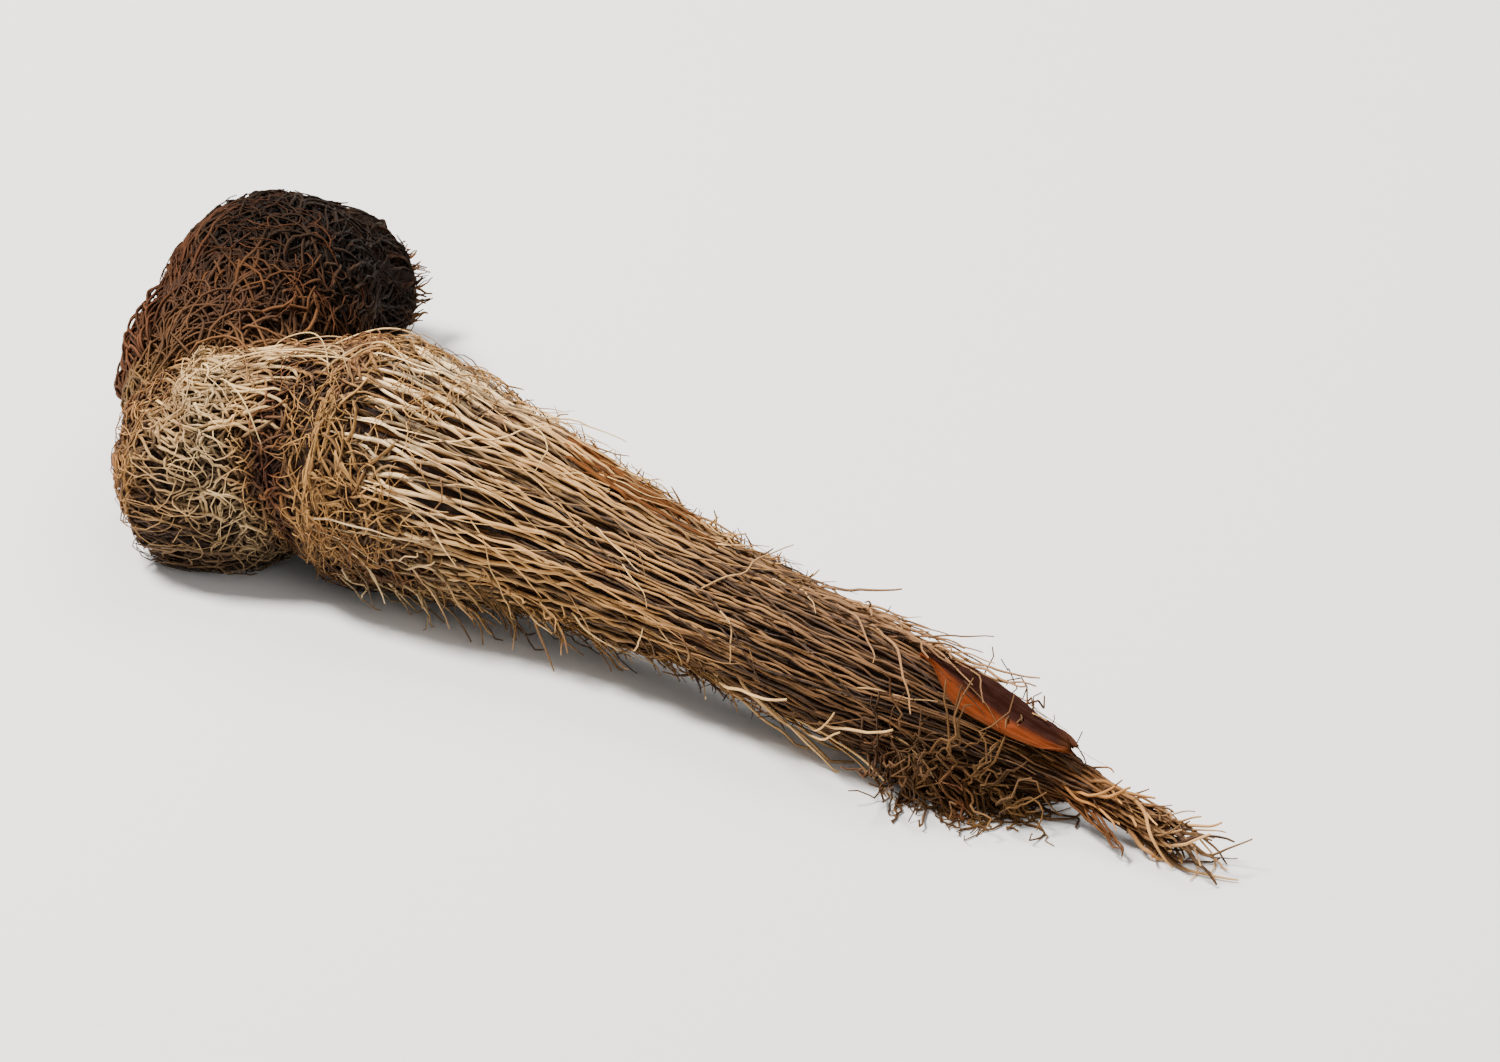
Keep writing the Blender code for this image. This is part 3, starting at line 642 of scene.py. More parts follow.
def fibre_tree():
    """Fibres that start at random on a stem's skin and curl over it, rise off it or hang from it."""
    lengths = dict(
        From=0, To=50, End=1000, Feather=1, Slant=0, Widest=7.7, Gap_Size=2.4,
        Length=(2, 4), Base=(0, 0.4), Sunk=0.4, Sunk_Tip=0.4, Rise=0, Tip=0, Droop=0,
        Wobble=0, Wobble_Size=2, Girth=(0.08, 0.16),
    )
    numbers = dict(
        Facing=0.0, Reach=math.pi, Gaps=0.0, Heading=0.0, Spread=math.pi, Comb=0.0,
        Curl=2.5, Taper=0.3,
    )
    counts = dict(Count=100, Points=9, Sides=3, Seed=1)
    tree, given, guide = new_tree("fibres", lengths, numbers, counts)
    draw = picker(tree, given.Seed)
    low, turn = draw(1, given.From, given.To), given.Facing + draw(2, -1.0) * given.Reach
    radius = radius_at(tree, guide, low)

    # The chance that a fibre grows here: by the stem's girth, less in both feathers and in gaps.
    end = given.To - given.Slant * turn.maths("SINE").smooth(0.0, 0.9)
    fade = (given.From + given.Feather - low) / given.Feather
    chance = radius / given.Widest * (1.0 - fade.smooth(0.0, 1.0))
    chance = chance * (1.0 - ((low - end) / given.Feather + 1.0).smooth(0.0, 1.0))
    rooted = vector(tree, "DIVIDE", skin(tree, guide, low, turn, 0.0), xyz(tree, *[given.Gap_Size] * 3))
    chance = chance * (1.0 - given.Gaps * cloud(tree, rooted, detail=1.0).smooth(0.52, 0.64))
    combed = 1.0 - given.Comb * turn.maths("SINE").smooth(-0.1, 0.8)
    kept = dict(
        low=low,
        turn=turn,
        radius=radius.maths("MAXIMUM", THIN_STEM),
        length=draw(3, given.Length_Min, given.Length_Max).maths("MINIMUM", given.End - low),
        heading=given.Heading + draw(4, -1.0) * given.Spread * combed,
        curl=draw(5, -1.0) * given.Curl * combed + STRAIGHT,
        base=draw(6, given.Base_Min, given.Base_Max),
        rise=draw(7, 0.2, 1.0) * given.Rise,
        tip=draw(8, 0.15, 1.0) * given.Tip,
        droop=draw(9, 0.4, 1.0) * given.Droop,
        girth=draw(10, given.Girth_Min, given.Girth_Max),
        tint=draw(11),
        rank=draw(12, 0.0, 1000.0),
    )
    starts = Wire.node(tree, "GeometryNodePoints", None, {"Count": given.Count})
    chosen = captured(tree, starts, **kept, out=draw(13) - chance)
    values = {"Geometry": chosen, "Selection": chosen.out("out").maths("GREATER_THAN", 0.0)}
    starts = Wire.node(tree, "GeometryNodeDeleteGeometry", {"domain": "POINT"}, values)
    many, share, own = bundle(tree, starts, given.Points, **{name: chosen.out(name) for name in kept})

    # Each is an arc over the skin. One that passes the knob's pole goes on down the other side.
    bent = own.heading + own.curl * share
    ahead = own.length * (bent.maths("SINE") - own.heading.maths("SINE")) / own.curl
    across = own.length * (own.heading.maths("COSINE") - bent.maths("COSINE")) / own.curl
    along = own.low + ahead
    over_pole = along.maths("LESS_THAN", 0.0)
    around = own.turn + across / own.radius + over_pole * math.pi
    lift = own.base + own.rise * (share * math.pi).maths("SINE") + own.tip * share ** 2.0
    lift = lift - given.Sunk * (1.0 - share.smooth(0.0, 0.16))
    lift = lift - given.Sunk_Tip * share.smooth(0.84, 1.0)
    place = skin(tree, guide, along.maths("ABSOLUTE"), around, lift)

    # It wavers by its own noise, more towards its tip, and may hang down.
    spot = vector(tree, "DIVIDE", place, xyz(tree, *[given.Wobble_Size] * 3))
    spot = vector(tree, "ADD", spot, xyz(tree, own.rank, own.rank * 0.37, 0.0))
    sway = crooked(tree, spot, 1.0, given.Wobble * 2.0 * share.smooth(0.0, 0.35))
    place = vector(tree, "ADD", place, sway)
    place = vector(tree, "ADD", place, xyz(tree, 0.0, 0.0, own.droop * share ** 2.0 * -1.0))
    girth = own.girth * (1.0 - given.Taper * share ** 2.0)
    many = stored(tree, many, tint=own.tint, along=along, height=lift * IN_MM + HEIGHT_SHIFT)
    many = moved(tree, many, above_floor(tree, place, own.girth))
    tube, _ = sweep(tree, many, given.Sides, girth)
    return end_tree(tree, tube, given)


fibres = fibre_tree()
felt_fibre = fibre_finish(
    "felt_fibre",
    {0: "8A5228", 5: "B4844A", 9: "ECCA94", 11: "C4945A", 12.5: "6A3E20", 14.5: "AC7E46", 26: "B88A50"},
    "28140A", rust="6C3A1A", rusty=0.18, hollow_shade_and_dirt=0.85, drift=2.0, floor_shade=0.8, mottle=0.7, gloss=0.25,
)
grow(
    "knob_felt", fibres, "straw_coat", root_guide, felt_fibre, Count=6400, Points=7, From=0, To=root_x(7),
    Feather=0.8, Gaps=0.6, Length=(1, 2.5), Curl=3.4, Comb=0.5, Base=(-0.25, 0.5), Girth=(0.06, 0.14),
    Wobble=0.32, Wobble_Size=0.75, Seed=11,
)
grow(
    "shoulder_felt", fibres, "straw_coat", root_guide, felt_fibre, Count=5000, Points=7, From=root_x(5),
    To=root_x(19), Feather=3, Gaps=0.85, Slant=6.5, Length=(1.3, 3.6), Curl=3.0, Comb=0.6,
    Base=(-0.2, 0.55), Girth=(0.075, 0.15), Wobble=0.15, Wobble_Size=0.9, Seed=12,
)
grain_fibre = fibre_finish("grain_fibre", {0: "D2AC74", 20: "D8B480"}, "4A2C16", mottle=0.7, floor_shade=0.7)
grow(
    "knob_grains", fibres, "straw_coat", root_guide, grain_fibre, Count=200, Points=7, From=3,
    To=root_x(4.5), Feather=1, Widest=6.5, Facing=1.3, Reach=0.85, Length=(1.3, 3.2), Spread=0.5, Curl=1.3,
    Base=(0.3, 0.55), Girth=(0.1, 0.18), Wobble=0.2, Wobble_Size=1, Seed=14,
)
grow(
    "coat_felt", fibres, "straw_coat", root_guide, felt_fibre, Count=1900, Points=6, From=root_x(11),
    To=root_x(50), Feather=14, Facing=3.9, Reach=1.85, Length=(1.5, 4), Spread=0.8, Curl=2.4,
    Base=(0.1, 0.6), Tip=1.1, Sunk_Tip=0, Girth=(0.05, 0.12), Taper=0.6, Wobble=0.25, Wobble_Size=1.2,
    Seed=15,
)
grow(
    "felt_fuzz", fibres, "straw_coat", root_guide, felt_fibre, Count=1800, Points=6, From=0, To=root_x(20),
    Feather=2, Length=(1.2, 3.4), Curl=3.0, Base=(0.2, 0.6), Rise=0.5, Tip=0.3, Sunk_Tip=0,
    Girth=(0.03, 0.06), Wobble=0.3, Wobble_Size=1, Seed=13,
)


# Loose strands and hairs of the coat
# Strands that have come off the coat and lie over it, a streak of rust-coloured ones on the barrel's top,
# and finer hairs that stand off it.
grow(
    "coat_loose", fibres, "straw_coat", root_guide, coat_fibre, Count=300, Points=21, From=root_x(12),
    To=root_x(60), End=root_x(70), Feather=3, Widest=6, Length=(6, 16), Heading=0.03, Spread=0.06,
    Curl=0.16, Base=(0.1, 0.55), Girth=(0.06, 0.13), Wobble=0.3, Wobble_Size=1.6, Seed=21,
)
rusty_fibre = fibre_finish("rusty_fibre", {0: "7A4A20", 60: "5E3616"}, "2E170A", rust="6A3A14", gloss=0.08)
grow(
    "rust_streak", fibres, "straw_coat", root_guide, rusty_fibre, Count=44, Points=19, From=root_x(21),
    To=root_x(31), Feather=3, Widest=7, Facing=1.75, Reach=0.3, Length=(4, 9), Spread=0.05, Curl=0.16,
    Base=(0.35, 0.55), Girth=(0.08, 0.15), Wobble=0.2, Wobble_Size=1.8, Seed=23,
)
grow(
    "coat_hairs", fibres, "straw_coat", root_guide, coat_fibre, Count=260, Points=15, From=root_x(8),
    To=root_x(60), End=root_x(70), Feather=3, Widest=6, Length=(5, 13), Spread=0.14, Curl=0.6,
    Base=(0.35, 0.7), Tip=0.8, Sunk_Tip=0, Girth=(0.04, 0.08), Taper=0.7, Wobble=0.25, Wobble_Size=3,
    Seed=22,
)


# The crown's felt and strands
# The crown is closed in almost black felt of broken leaf fibres. Longer strands lie along its outer flank
# and all round its end, and a short fuzz stands off it.
crown_fibre = fibre_finish(
    "crown_fibre",
    {0: "7E5430", 7: "5E3C22", 11: "382516", 16: "241810", 30: "231810", 40: "342316"},
    "0A0705", rust="38200F", hollow_shade_and_dirt=0.85, drift=3.0, gloss=0.08,
)
grow(
    "crown_felt", fibres, "dark_crown", crown_guide, crown_fibre, Count=4000, Points=6, From=3, To=36,
    Feather=1, Widest=6.2, Length=(1.8, 5), Spread=0.9, Curl=1.8, Base=(-0.2, 0.5), Girth=(0.08, 0.15),
    Wobble=0.2, Wobble_Size=1.2, Seed=41,
)
red_fibre = fibre_finish(
    "red_fibre",
    {0: "6A4228", 10: "4C2C18", 20: "2E1C10", 30: "24160D"},
    "180D07", rust="4A2612", gloss=0.1,
)
grow(
    "crown_strands", fibres, "dark_crown", crown_guide, red_fibre, Count=300, Points=13, From=4, To=26,
    Feather=2, Widest=6.2, Facing=3.1, Reach=1.1, Length=(5, 11), Spread=0.35, Curl=0.8, Base=(0.2, 0.6),
    Girth=(0.08, 0.15), Wobble=0.3, Wobble_Size=2.5, Seed=42,
)
grow(
    "crown_loose", fibres, "dark_crown", crown_guide, crown_fibre, Count=520, Points=13, From=11, To=33,
    Feather=3, Widest=6.2, Length=(4, 9), Spread=0.4, Curl=0.9, Base=(0.3, 0.7), Tip=0.5, Sunk_Tip=0,
    Girth=(0.07, 0.15), Taper=0.6, Wobble=0.3, Wobble_Size=2.2, Seed=44,
)
grow(
    "crown_fuzz", fibres, "dark_crown", crown_guide, red_fibre, Count=1000, Points=6, From=4, To=35,
    Feather=1, Widest=6.2, Length=(1.2, 3.5), Curl=2.5, Base=(0.2, 0.5), Rise=0.3, Tip=0.2, Sunk_Tip=0,
    Girth=(0.03, 0.06), Wobble=0.2, Wobble_Size=1, Seed=45,
)


# The bridge between knob and crown
# In the bend the felts of both grow together, from pale to dark. They fill the corner on both sides, and a
# few stiff strands bow out beside the waist.
BRIDGE_STATIONS = [
    (-0.9, -1.6, 6.1, 5.4),
    (-2.0, 1.6, 7.8, 6.1),
    (-3.6, 5.4, 9.2, 6.5),
    (-5.4, 9.4, 10.2, 6.4),
    (-8.0, 14.4, 10.5, 6.2),
]
bridge_guide = guide_curve("bridge_guide", BRIDGE_STATIONS)
bridge_fibre = fibre_finish(
    "bridge_fibre",
    {0: "C09A60", 4.5: "946840", 8: "5E3C24", 12: "3A2415", 17: "281A10"},
    "1C1009", drift=3.0, gloss=0.12,
)
grow(
    "bridge_felt", fibres, "dark_crown", bridge_guide, bridge_fibre, Count=1400, Points=7, From=1, To=16,
    Feather=1, Widest=6.9, Facing=3.1, Reach=1.2, Length=(2.5, 6.5), Spread=0.9, Curl=2.0, Base=(-0.6, 0.3),
    Girth=(0.08, 0.15), Wobble=0.25, Wobble_Size=1.6, Seed=43,
)
grow(
    "join_felt", fibres, "dark_crown", bridge_guide, bridge_fibre, Count=560, Points=7, From=3, To=13,
    Feather=1, Widest=6.9, Facing=0.9, Reach=1.1, Length=(2.5, 6), Spread=1.2, Curl=2.6, Base=(-0.4, 0.4),
    Girth=(0.08, 0.15), Wobble=0.25, Wobble_Size=1.6, Seed=46,
)
grow(
    "flank_strands", fibres, "dark_crown", bridge_guide, red_fibre, Count=110, Points=15, From=3.5, To=9,
    Feather=1, Widest=6.9, Facing=2.9, Reach=0.5, Length=(3, 5.5), Heading=0.1, Spread=0.4, Curl=1.2,
    Base=(-0.1, 0.5), Rise=0.9, Girth=(0.08, 0.16), Wobble=0.3, Wobble_Size=2, Seed=47,
)


# The tail's strands, its brush and its fork
# The coat thins out over the tail into straight strands, which part at the tip into a fan of wavy ones. A
# second, thinner tail forks off beside it in rust-coloured strands.
TAIL_STATIONS = [
    (54.0, 0.1, 4.5, 2.9),
    (58.0, 0.3, 3.8, 2.45),
    (62.0, 0.7, 3.1, 1.75),
    (66.2, 0.7, 2.4, 1.15),
    (70.0, 0.4, 1.9, 0.85),
    (73.0, 0.0, 1.5, 0.85),
    (76.0, -0.4, 1.2, 1.0),
    (80.0, -0.9, 1.2, 1.3),
]
FORK_STATIONS = [
    (61.5, -0.6, 3.0, 0.5),
    (64.5, -0.1, 2.5, 0.5),
    (67.4, -0.4, 1.9, 0.45),
    (69.8, -1.2, 1.3, 0.4),
    (72.8, -2.9, 0.6, 0.3),
]
tail_guide = guide_curve("tail_guide", TAIL_STATIONS)
fork_guide = guide_curve("fork_guide", FORK_STATIONS)
tail_fibre = fibre_finish(
    "tail_fibre",
    {0: "52301A", 7: "744620", 13: "A46A30", 19: "C89054", 26: "DCAC74"},
    "26110A", rust="5C2A10", drift=2.0, mottle=0.8, hollow_shade_and_dirt=0.7,
)
grow(
    "tail_strands", fibres, "straw_coat", tail_guide, tail_fibre, Count=240, Points=19, From=0, To=16,
    End=21, Feather=1, Widest=2.2, Length=(5, 14), Spread=0.06, Curl=0.2, Base=(-0.4, 0.15), Sunk_Tip=0,
    Tip=0.2, Girth=(0.08, 0.16), Taper=0.5, Wobble=0.3, Wobble_Size=2.2, Seed=51,
)
grow(
    "brush_curls", fibres, "straw_coat", tail_guide, tail_fibre, Count=110, Points=17, From=11, To=20.5,
    Feather=2, Widest=0.8, Length=(3.5, 7.5), Spread=0.14, Curl=1.0, Base=(-0.9, 0.35), Sunk_Tip=0, Tip=1.3,
    Girth=(0.08, 0.17), Taper=0.5, Wobble=0.7, Wobble_Size=3.2, Seed=53,
)
rust_fibre = fibre_finish("rust_fibre", {0: "3C200F", 12: "6A4426"}, "1C0D06", rust="3E2010", gloss=0.08)
grow(
    "fork_strands", strands, "straw_coat", fork_guide, rust_fibre, Count=9, Points=40, From=0, To=11.4,
    To_Spread=1.4, Cell=6, Lift=-0.1, Lift_Spread=0.1, Thickness=0.1, Full_At=0.5, Wobble=0.5, Seed=52,
)


# The rootlets
# A tangled tuft of fine side roots grows from the front and the underside of the tail. It hangs down and
# spreads on the surface that the root lies on.
rootlet_fibre = fibre_finish(
    "rootlet_fibre",
    {50: "7A5834", 62: "573A20", 74: "76542E"},
    "20130B", rust="5A2C14", rusty=0.1, hollow_shade_and_dirt=0.0,
)
grow(
    "rootlets", fibres, "straw_coat", root_guide, rootlet_fibre, Count=460, Points=17, From=root_x(51.5),
    To=root_x(62), Feather=2, Widest=3.6, Facing=-1.15, Reach=0.75, Length=(4, 9), Spread=0.9, Curl=2.2,
    Base=(0, 0.3), Sunk_Tip=0, Tip=5, Droop=4, Girth=(0.06, 0.13), Taper=0.4, Wobble=2, Wobble_Size=2.6,
    Seed=61,
)


# Loops, frays and stray hairs
# Single fibres that have sprung loose and show against the background: loops over the waist, pale hairs
# before the tail, frays below the shoulder and above the tail, and stray hairs all along.
hair_fibre = fibre_finish("hair_fibre", {0: "DDBB84", 60: "D2A870"}, "6A4422", hollow_shade_and_dirt=0.0)
grow(
    "waist_loops", fibres, "straw_coat", root_guide, hair_fibre, Count=24, Points=17, From=root_x(1),
    To=root_x(9), Feather=1, Facing=2.0, Reach=0.9, Length=(4, 8), Spread=0.7, Curl=1.2, Rise=1.5,
    Girth=(0.05, 0.08), Seed=71,
)
grow(
    "pale_hairs", fibres, "straw_coat", root_guide, hair_fibre, Count=15, Points=19, From=root_x(40),
    To=root_x(51), Feather=0.5, Widest=4.6, Facing=-0.75, Reach=0.45, Length=(6, 11), Spread=0.6, Curl=1.1,
    Base=(0.3, 0.6), Tip=2.4, Droop=1.6, Sunk_Tip=0, Wobble=0.5, Wobble_Size=4, Girth=(0.08, 0.13), Seed=73,
)
grow(
    "shoulder_frays", fibres, "straw_coat", root_guide, coat_fibre, Count=75, Points=13, From=root_x(9),
    To=root_x(31), Feather=2, Widest=7, Facing=-0.7, Reach=0.4, Length=(2.5, 6), Heading=-0.3, Spread=0.5,
    Curl=1.4, Base=(0.2, 0.6), Tip=2.2, Droop=1.4, Sunk_Tip=0, Taper=0.5, Wobble=0.6, Wobble_Size=2,
    Girth=(0.06, 0.12), Seed=75,
)
fray_fibre = fibre_finish("fray_fibre", {0: "AE8660", 60: "98704A"}, "503420", mottle=0.6)
grow(
    "tail_frays", fibres, "straw_coat", root_guide, fray_fibre, Count=46, Points=17, From=root_x(43),
    To=root_x(56), Feather=1, Widest=4.6, Facing=1.9, Reach=0.35, Length=(5, 10), Spread=0.3, Curl=0.9,
    Base=(0.3, 0.6), Tip=2.6, Sunk_Tip=0, Taper=0.5, Wobble=0.6, Wobble_Size=3, Girth=(0.08, 0.14), Seed=74,
)
grow(
    "stray_hairs", fibres, "straw_coat", root_guide, hair_fibre, Count=60, Points=17, From=root_x(14),
    To=root_x(62), Feather=1, Widest=6, Facing=0.3, Reach=2.2, Length=(4, 9), Spread=0.5, Curl=1.4,
    Base=(0.3, 0.5), Tip=1.8, Sunk_Tip=0, Taper=0.6, Wobble=0.7, Wobble_Size=3, Girth=(0.04, 0.09), Seed=72,
)


# The leaf sheath and the leaf bases
# Dry papery scales that clasp the root: one rust-coloured sheath at the tail, with a painted lit flank in
# orange and painted shade in maroon on its folded back, and rows of dark torn bases round the crown's end.
WELD = 0.002 * MM
BLADE_GAP = 0.05 * MM
BROADEST_AT = 0.36  # of a blade's length
CRUMPLE = 0.9  # in mm


def blade_tree():
    """Thin arched blades on a stem, one after another, each closed along its rim."""
    lengths = dict(
        From=0, Step=0, Length=12, Half_Width=4, Lift=0.6, Tip_Lift=0.6, Fold=0,
        Edge=0, Thickness=0.3, Rib=0.08, Tatter=1,
    )
    numbers = dict(Facing=0.0, Turn=0.0, Jitter=0.0, Base=0.55, Point=0.75, Ribs=6.0)
    counts = dict(Count=1, Rows=60, Columns=40, Seed=1)
    tree, given, guide = new_tree("blades", lengths, numbers, counts)
    draw = picker(tree, given.Seed)
    number = Wire.node(tree, "GeometryNodeInputIndex")
    kept = dict(
        low=given.From + number * given.Step,
        turn=given.Facing + number * given.Turn + draw(1, -0.3, 0.3) * given.Jitter,
        length=given.Length * (1.0 + draw(2, -0.2, 0.2) * given.Jitter),
        rank=draw(3, 0.0, 100.0),
    )
    starts = Wire.node(tree, "GeometryNodePoints", None, {"Count": given.Count})
    starts = captured(tree, starts, **kept)
    values = {"Size X": 1.0, "Size Y": 2.0, "Vertices X": given.Rows, "Vertices Y": given.Columns}
    sheet = Wire.node(tree, "GeometryNodeMeshGrid", None, values, "Mesh")
    here = Wire.node(tree, "GeometryNodeInputPosition")
    sheet = captured(tree, sheet, share=axis(tree, here, "X") + 0.5, across=axis(tree, here, "Y"))
    many = planted(tree, starts, sheet)
    share, across = sheet.out("share"), sheet.out("across")
    low, turn, length, rank = (starts.out(name) for name in kept)

    # The outline: a narrow base, a broad middle and a torn point.
    torn = cloud(tree, xyz(tree, across * 2.4, rank, 0.0), detail=3.0) - 0.5
    along = low + length * share + torn * 2.0 * given.Tatter * share ** 3.0
    broad = given.Base + (1.0 - given.Base) * (share / BROADEST_AT).smooth(0.0, 1.0)
    broad = broad * (1.0 - given.Point * share ** 3.0)
    around = turn + across * broad * given.Half_Width / (radius_at(tree, guide, along) + given.Lift)

    # The relief: ribs along it, one crease, a rolled edge and a crumpled surface.
    rib = (across * given.Ribs * math.pi + torn * 3.0).maths("SINE") * given.Rib
    crease = across.smooth(-0.15, 0.25) * (1.0 - across.smooth(0.25, 0.6)) * given.Fold * broad
    flare = across.maths("ABSOLUTE") ** 4.0 * given.Edge
    crumple = (cloud(tree, xyz(tree, across * 1.5, share * 4.0, rank)) - 0.5) * CRUMPLE * MM
    lift = given.Lift + rib + crease + flare + crumple + share ** 4.0 * given.Tip_Lift

    # Its two faces meet at the rim.
    rim = (1.0 - across ** 2.0).maths("MAXIMUM", 0.0) ** 0.5
    rim = rim * share.smooth(0.0, 0.03) * (1.0 - share.smooth(0.97, 1.0))
    under = above_floor(tree, skin(tree, guide, along, around, lift), BLADE_GAP)
    over = above_floor(tree, skin(tree, guide, along, around, lift + rim * given.Thickness), BLADE_GAP)
    upper = Wire.node(tree, "GeometryNodeFlipFaces", None, {"Mesh": moved(tree, many, over)})
    both = tree.nodes.new("GeometryNodeJoinGeometry")
    tree.links.new(upper.socket, both.inputs[0])
    tree.links.new(moved(tree, many, under).socket, both.inputs[0])
    values = {"Geometry": Wire(both.outputs[0]), "Distance": WELD}
    mesh = Wire.node(tree, "GeometryNodeMergeByDistance", None, values)
    return end_tree(tree, stored(tree, mesh, share=share, across=across, tint=rank / 100.0), given)


def scale_finish(name, front, back, edge, gloss):
    """A dry scale: streaked along its length, with a painted lit flank, painted shade behind and a worn
    rim.
    """
    made, tree, _ = finish(name, 0.75 - gloss)
    share, across, tint = read(tree, "share"), read(tree, "across"), read(tree, "tint")
    streaks = noise(tree, xyz(tree, across * 14.0, share * 1.3, tint * 30.0), size=1.0, detail=4.0)
    blotch = noise(tree, xyz(tree, across * 2.0, share * 4.0, tint * 30.0 + 7.0), size=1.0, detail=3.0)
    # Painted light and shade: the front colour is the lit flank, the back colour the shaded rest.
    colour = mixed(tree, (across + blotch * 0.25).smooth(-0.55, -0.15), paint(front), paint(back))
    colour = mixed(tree, streaks.smooth(-0.1, 0.7) * 0.7, colour, paint(back))
    worn = across.maths("ABSOLUTE").smooth(0.8, 1.0) + share.smooth(0.85, 1.0)
    colour = mixed(tree, worn.maths("MINIMUM", 1.0) * 0.6, colour, paint(edge))
    coated(tree, colour, streaks, strength=0.5, depth=0.12 * MM)
    tree.nodes["Principled BSDF"].inputs["Specular IOR Level"].default_value = gloss
    return made


blades = blade_tree()
# The sheath's orange is painted light on its flank, and its maroon is painted shade on the fold.
sheath_finish = scale_finish("sheath_finish", "6C2E0A", "2A0F06", "4A280E", 0.07)
base_finish = scale_finish("base_finish", "2E1A0E", "160C06", "4A2C16", 0.03)
CROWN_LENGTH = length_at(crown_guide)
sheath_blade = grow(
    "sheath_blade", blades, "rust_sheath", root_guide, sheath_finish, From=root_x(54.8),
    Length=root_x(66.3) - root_x(54.8), Facing=1.45, Half_Width=1.95, Base=0.05, Point=0.85, Edge=0.35,
    Lift=0.42, Tip_Lift=0.7, Fold=0.7, Rows=64, Columns=40, Ribs=9.0, Rib=0.05, Seed=81,
)
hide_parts("leaf_sheath")
grow(
    "leaf_bases", blades, "dark_crown", crown_guide, base_finish, Count=13, From=0.45 * CROWN_LENGTH,
    Step=0.028 * CROWN_LENGTH, Turn=2.4, Jitter=1.0, Length=7, Half_Width=1.2, Point=0.95, Lift=0.35,
    Tip_Lift=0.4, Edge=-0.3, Rows=26, Columns=14, Ribs=4.0, Tatter=1.6, Seed=82,
)


# Soil crumbs
# Grains of soil and bark dust that have lodged in the coat and in the crown's felt. They are small uneven
# lumps, thrown on at random.
def crumb_tree():
    """Small uneven crumbs on a stem's skin."""
    lengths = dict(From=0, To=50, Depth=(-0.1, 0.3), Size=(0.08, 0.25))
    tree, given, guide = new_tree("crumbs", lengths, {}, dict(Count=100, Seed=1))
    draw = picker(tree, given.Seed)
    smallest, largest = given.Size_Min, given.Size_Max
    along, around = draw(1, given.From, given.To), draw(2, 0.0, TURN)
    place = skin(tree, guide, along, around, draw(3, given.Depth_Min, given.Depth_Max))
    values = {"Count": given.Count, "Position": above_floor(tree, place, largest)}
    starts = Wire.node(tree, "GeometryNodePoints", None, values)
    stone = Wire.node(tree, "GeometryNodeMeshIcoSphere", None, {"Radius": 1.0, "Subdivisions": 1}, "Mesh")
    lumps = xyz(tree, draw(4, 0.7, 1.3), draw(5, 0.7, 1.3), draw(6, 0.5, 1.0))
    size = vector(tree, "SCALE", lumps, draw(7) ** 2.0 * (largest - smallest) + smallest)
    turned = xyz(tree, draw(8, 0.0, 6.0), draw(9, 0.0, 6.0), 0.0)
    values = {"Points": starts, "Instance": stone, "Rotation": turned, "Scale": size}
    return end_tree(tree, Wire.node(tree, "GeometryNodeInstanceOnPoints", None, values), given)


crumbs = crumb_tree()
soil = bark_finish("soil", "1E120A", "4A3220")
grow(
    "soil_crumbs", crumbs, "straw_coat", root_guide, soil, Count=260, From=0, To=root_x(60), Seed=91,
)
grow(
    "crown_crumbs", crumbs, "dark_crown", crown_guide, crown_bark, Count=380, From=6, To=34, Depth_Max=0.5,
    Size_Max=0.22, Seed=92,
)


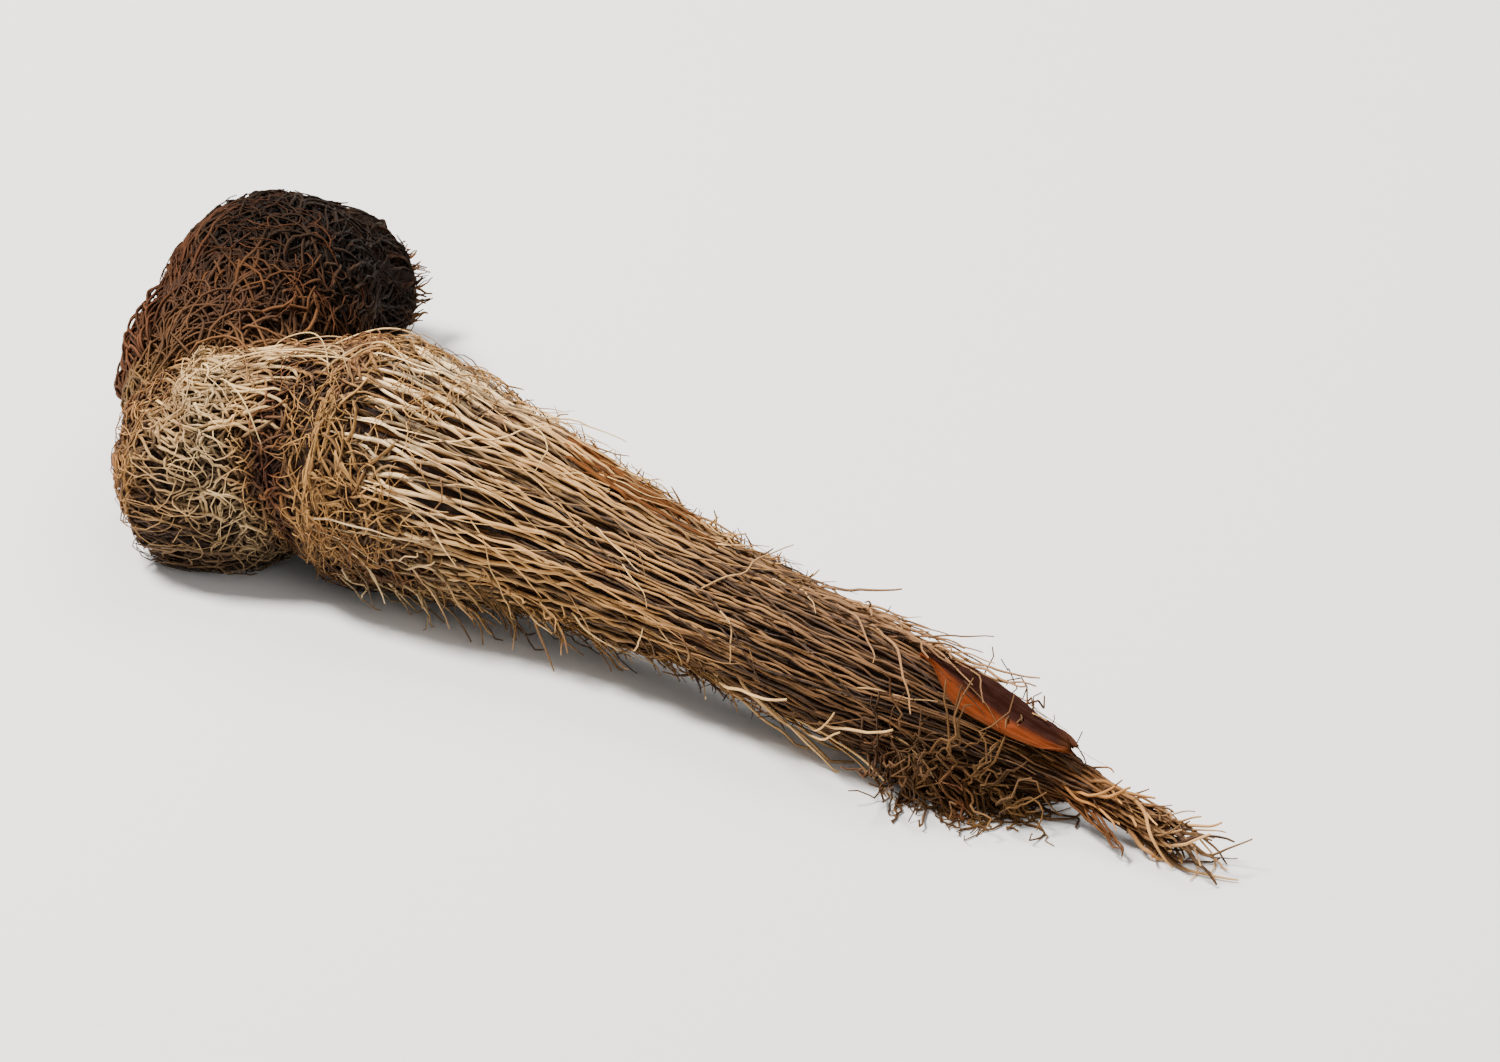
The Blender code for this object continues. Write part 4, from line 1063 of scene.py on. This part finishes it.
# The broken stem
# Last year's flower stem has snapped off at the crown's end. Its stub is woody and dark, with a pale
# granular break, and stands in a brush of dark fibres that close round it.
STEM_STATIONS = [
    (-13.4, 27.5, 4.7, 2.4),
    (-13.8, 30.0, 3.7, 2.2),
    (-14.1, 32.0, 2.9, 2.0),
    (-14.3, 33.4, 2.35, 1.85),
]
BRUSH_STATIONS = [
    (-11.6, 21.5, 7.3, 5.4),
    (-12.6, 24.6, 6.1, 5.0),
    (-13.4, 27.4, 4.9, 4.5),
    (-13.9, 30.0, 3.9, 3.6),
    (-14.2, 32.2, 3.2, 2.7),
    (-14.5, 35.0, 2.7, 2.4),
]
BREAK_AT = 19.9 * MM
BREAK_EDGE, BREAK_RAGGED = 0.4 * MM, 0.25
stem_guide = guide_curve("stem_guide", STEM_STATIONS)
brush_guide = guide_curve("brush_guide", BRUSH_STATIONS)


def stem_finish(name, bark, pith, soiled):
    """Dark bark up to the break and pale pith beyond it, with a granular bump."""
    made, tree, place = finish(name, 0.95)
    patches = noise(tree, place, size=0.8 * MM, detail=4.0)
    broken = (axis(tree, place, "Y") + patches * BREAK_RAGGED * MM).smooth(BREAK_AT, BREAK_AT + BREAK_EDGE)
    inside = mixed(tree, patches.smooth(-0.2, 0.6), paint(pith), paint(soiled))
    grain = noise(tree, place, size=0.25 * MM, detail=3.0)
    coated(tree, mixed(tree, broken, paint(bark), inside), grain, strength=0.8, depth=0.15 * MM)
    return made


stem_wood = stem_finish("stem_wood", "22130A", "9A7244", "3A2414")
STEM_LENGTH = length_at(stem_guide)
grow(
    "stem_stub", rhizome, "dark_crown", stem_guide, stem_wood, Lift=0, Roughness=0.45, Sides=48,
)
grow(
    "stem_pith", crumbs, "dark_crown", stem_guide, stem_wood, Count=170, From=STEM_LENGTH - 0.1,
    To=STEM_LENGTH, Depth=(-1.7, -0.1), Size=(0.12, 0.4), Seed=93,
)
brush_fibre = fibre_finish(
    "brush_fibre",
    {0: "2A1A0F", 8: "3A2313", 15: "6A4524"},
    "0E0805", rust="4A2410", rusty=0.1, gloss=0.08,
)
grow(
    "crown_brush", fibres, "dark_crown", brush_guide, brush_fibre, Count=420, Points=11, From=0, To=10.5,
    End=14, Feather=0.5, Widest=5.4, Length=(4, 9), Spread=0.22, Curl=0.6, Base=(0, 0.5), Tip=0.5,
    Sunk_Tip=0, Girth=(0.08, 0.18), Taper=0.6, Wobble=0.4, Wobble_Size=2, Seed=94,
)

for guide in [o for o in scene.objects if o.type == "CURVE"]:
    bpy.data.objects.remove(guide)
